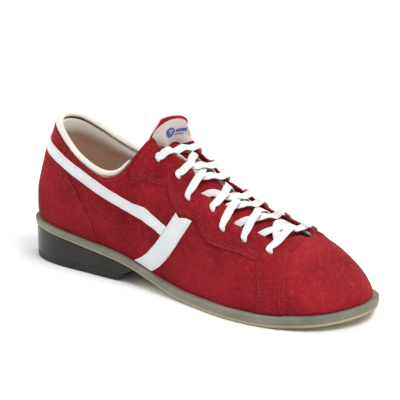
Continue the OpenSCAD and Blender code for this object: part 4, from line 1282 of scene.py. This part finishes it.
lace, lp, lt_, lw, ln, ls = ribbon(route, 8, "lace_braid", "shoe")
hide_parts("lace")


def tip(p, d, w, e):
    seg, v = 16, []
    k = np.linspace(0, 2 * math.pi, seg, endpoint=False)
    prof = [(-1.5, 0.75), (-1.2, 0.98), (0, 1.0), (12.6, 0.96), (13.6, 0.8), (14.0, 0.5)]
    for z, q in prof:
        v.append(p + z * d + (2.15 * q * np.cos(k))[:, None] * w + (1.0 * q * np.sin(k))[:, None] * e)
    return np.concatenate(v), tube(len(prof), seg)


tips = merge([tip(lp[0], -lt_[0], lw[0], ln[0] * -1), tip(lp[-1], lt_[-1], lw[-1], ln[-1])])
tips_o = new_object("lace_tip_sleeves", tips[0], tips[1], "shoe", M_TIP, 50)
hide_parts("lace_tips")

# ------------------------------------------------------------------ stitching
RED_ROWS, WHITE_ROWS, TONGUE_ROWS = [], [], []


def stitch_row(rows, p, n, inset, lift, pitch=2.5, span=1.9, wide=0.45):
    """Stitches along a line of surface points p with normals n, moved sideways by inset mm."""
    tan = unit(np.gradient(p, axis=0))
    side = unit(np.cross(n, tan))
    q = p + side * inset
    s = np.concatenate([[0], np.cumsum(np.linalg.norm(np.diff(q, axis=0), axis=1))])
    count = int((s[-1] - 1.5) / pitch)
    if count < 2:
        return
    at = 0.75 + pitch / 2 + np.arange(count) * (s[-1] - 1.5 - pitch) / max(1, count - 1)

    def take(a):
        return np.stack([np.interp(at, s, a[:, k]) for k in range(3)], -1)

    c, tt, nn_ = take(q), unit(take(unit(np.gradient(q, axis=0)))), unit(take(n))
    c = c + nn_ * (relief(c) + lift)[:, None]
    rows.append((c, tt, nn_, span, wide))


def stitches(name, rows, body, material):
    seg = 6
    prof = [(-1.0, 0.25, -0.30), (-0.72, 0.8, -0.06), (-0.3, 1.0, 0.10), (0.3, 1.0, 0.10),
            (0.72, 0.8, -0.06), (1.0, 0.25, -0.30)]
    k = np.linspace(0, 2 * math.pi, seg, endpoint=False)
    vs, fs, sv, base = [], [], [], 0
    per = len(prof) * seg
    stitch = tube(len(prof), seg)
    for c, t, n, span, wide in rows:
        w = np.cross(n, t)
        block = []
        for x, q, z in prof:
            ctr = c + t * (x * span / 2) + n * z
            ring = (ctr[:, None] + w[:, None] * (q * wide / 2 * np.cos(k))[None, :, None]
                    + n[:, None] * (q * wide * 0.42 * np.sin(k))[None, :, None])
            block.append(ring)
        block = np.stack(block, 1).reshape(len(c), -1, 3)
        vs.append(block.reshape(-1, 3))
        one = np.zeros((len(prof), seg, 3))
        one[..., 0] = np.array([x for x, _, _ in prof])[:, None] * span / 2
        one[..., 1] = k[None, :]
        sv.append(np.tile(one.reshape(-1, 3), (len(c), 1)))
        for i in range(len(c)):
            fs += [tuple(x + base for x in f) for f in stitch]
            base += per
    o = new_object(name, np.concatenate(vs), fs, body, material, 70)
    put_attribute(o, "sv", np.concatenate(sv), "FLOAT_VECTOR")
    return o


def line(side, u, t):
    u, t = np.asarray(u, float), np.asarray(t, float)
    return frame_at(flip(side, u), t)


for side in (0, 1):
    sg = 1 if side == 0 else -1
    N = 260
    # scalloped outer edge of the facing, down to the band
    s = np.linspace(0.012, BAND_FROM, N)
    u, t = facing_uv(s, np.zeros(N), np.zeros(N, bool))
    p, n = line(side, u, t)
    for ins in (1.6, 3.4):
        stitch_row(RED_ROWS, p, n, sg * ins, OVER_T + 0.05)
    # rear edge of the band
    f = np.linspace(0.02, 1, 90)
    u, t = facing_uv(np.full(90, BAND_FROM), f, np.ones(90, bool))
    p, n = line(side, u, t)
    for ins in (1.6, 3.4):
        stitch_row(RED_ROWS, p, n, -sg * ins, OVER_T + 0.05)
    # front seam of the band and the facing
    f = np.linspace(0.02, 1.95, 160)
    u, t = facing_uv(np.ones(160), np.where(f < 1, f, f - 1), f < 1)
    p, n = line(side, u, t)
    for ins in (1.6, 3.4):
        stitch_row(RED_ROWS, p, n, sg * ins, OVER_T + 0.05)
    # inner edge beside the lacing
    s = np.linspace(0.03, 0.97, N)
    u, t = facing_uv(s, np.ones(N), np.zeros(N, bool))
    p, n = line(side, u, t)
    stitch_row(RED_ROWS, p, n, -sg * 1.7, OVER_T + 0.05)
    # front edge of the counter cover
    t = np.linspace(0.03, 0.70, 120)
    p, n = line(side, lookup(COUNTER_FRONT, t), t)
    for ins in (1.7, 3.3):
        stitch_row(RED_ROWS, p, n, sg * ins, OVER_T - 0.1)
    # along the collar, under the roll
    u = np.linspace(0.05, 3.8, 240)
    p, n = line(side, u, rim_t(flip(side, u)) - 0.012)
    stitch_row(RED_ROWS, p, n, -sg * 1.6, 0.0)
    # white strap and collar band
    b = np.linspace(0.03, 0.99, 90)
    for a_, ins in ((0.0, -1.5), (1.0, 1.5)):
        u, t = strap_uv(np.full(90, a_), b)
        p, n = line(side, u, t)
        stitch_row(WHITE_ROWS, p, n, sg * ins, 0.85, 2.3, 1.7, 0.5)
    for q, ins in ((-1, 1.3), (1, -1.3)):
        u, t = band_uv(np.linspace(0.008, 0.99, 260), np.full(260, q))
        p, n = line(side, u, t)
        stitch_row(WHITE_ROWS, p, n, sg * ins, 0.85, 2.3, 1.7, 0.5)

# throat of the vamp
a = np.linspace(0.06, 0.94, 60)
s0 = float(base_seam(np.array(0.93)) + 0.3)
p, n = frame_at(mix(s0, TURNS - s0, a), np.full(60, 0.975))
stitch_row(RED_ROWS, p, n, -1.5, 0.0)
stitches("stitches_red", RED_ROWS, "shoe", M_THREAD_RED)
stitches("stitches_white", WHITE_ROWS, "shoe", M_THREAD_WHITE)

# tongue edge stitches
for q, ins in ((0.0, 2.4), (1.0, -2.4)):
    s = np.linspace(0.1, 0.985, 150)
    p, n = tongue_frame(s, 0.5 + tongue_half(s) * (2 * q - 1))
    stitch_row(TONGUE_ROWS, p, n, ins * -1, 0.05)
tongue_st = stitches("stitches_tongue", TONGUE_ROWS, "tongue", M_THREAD_RED)

# The tongue is wider over the facings than the room it swings down into; its pieces get mesh data of
# their own
for piece in (t_out, t_pad, label, emblem, finger, tongue_st):
    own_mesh(piece)
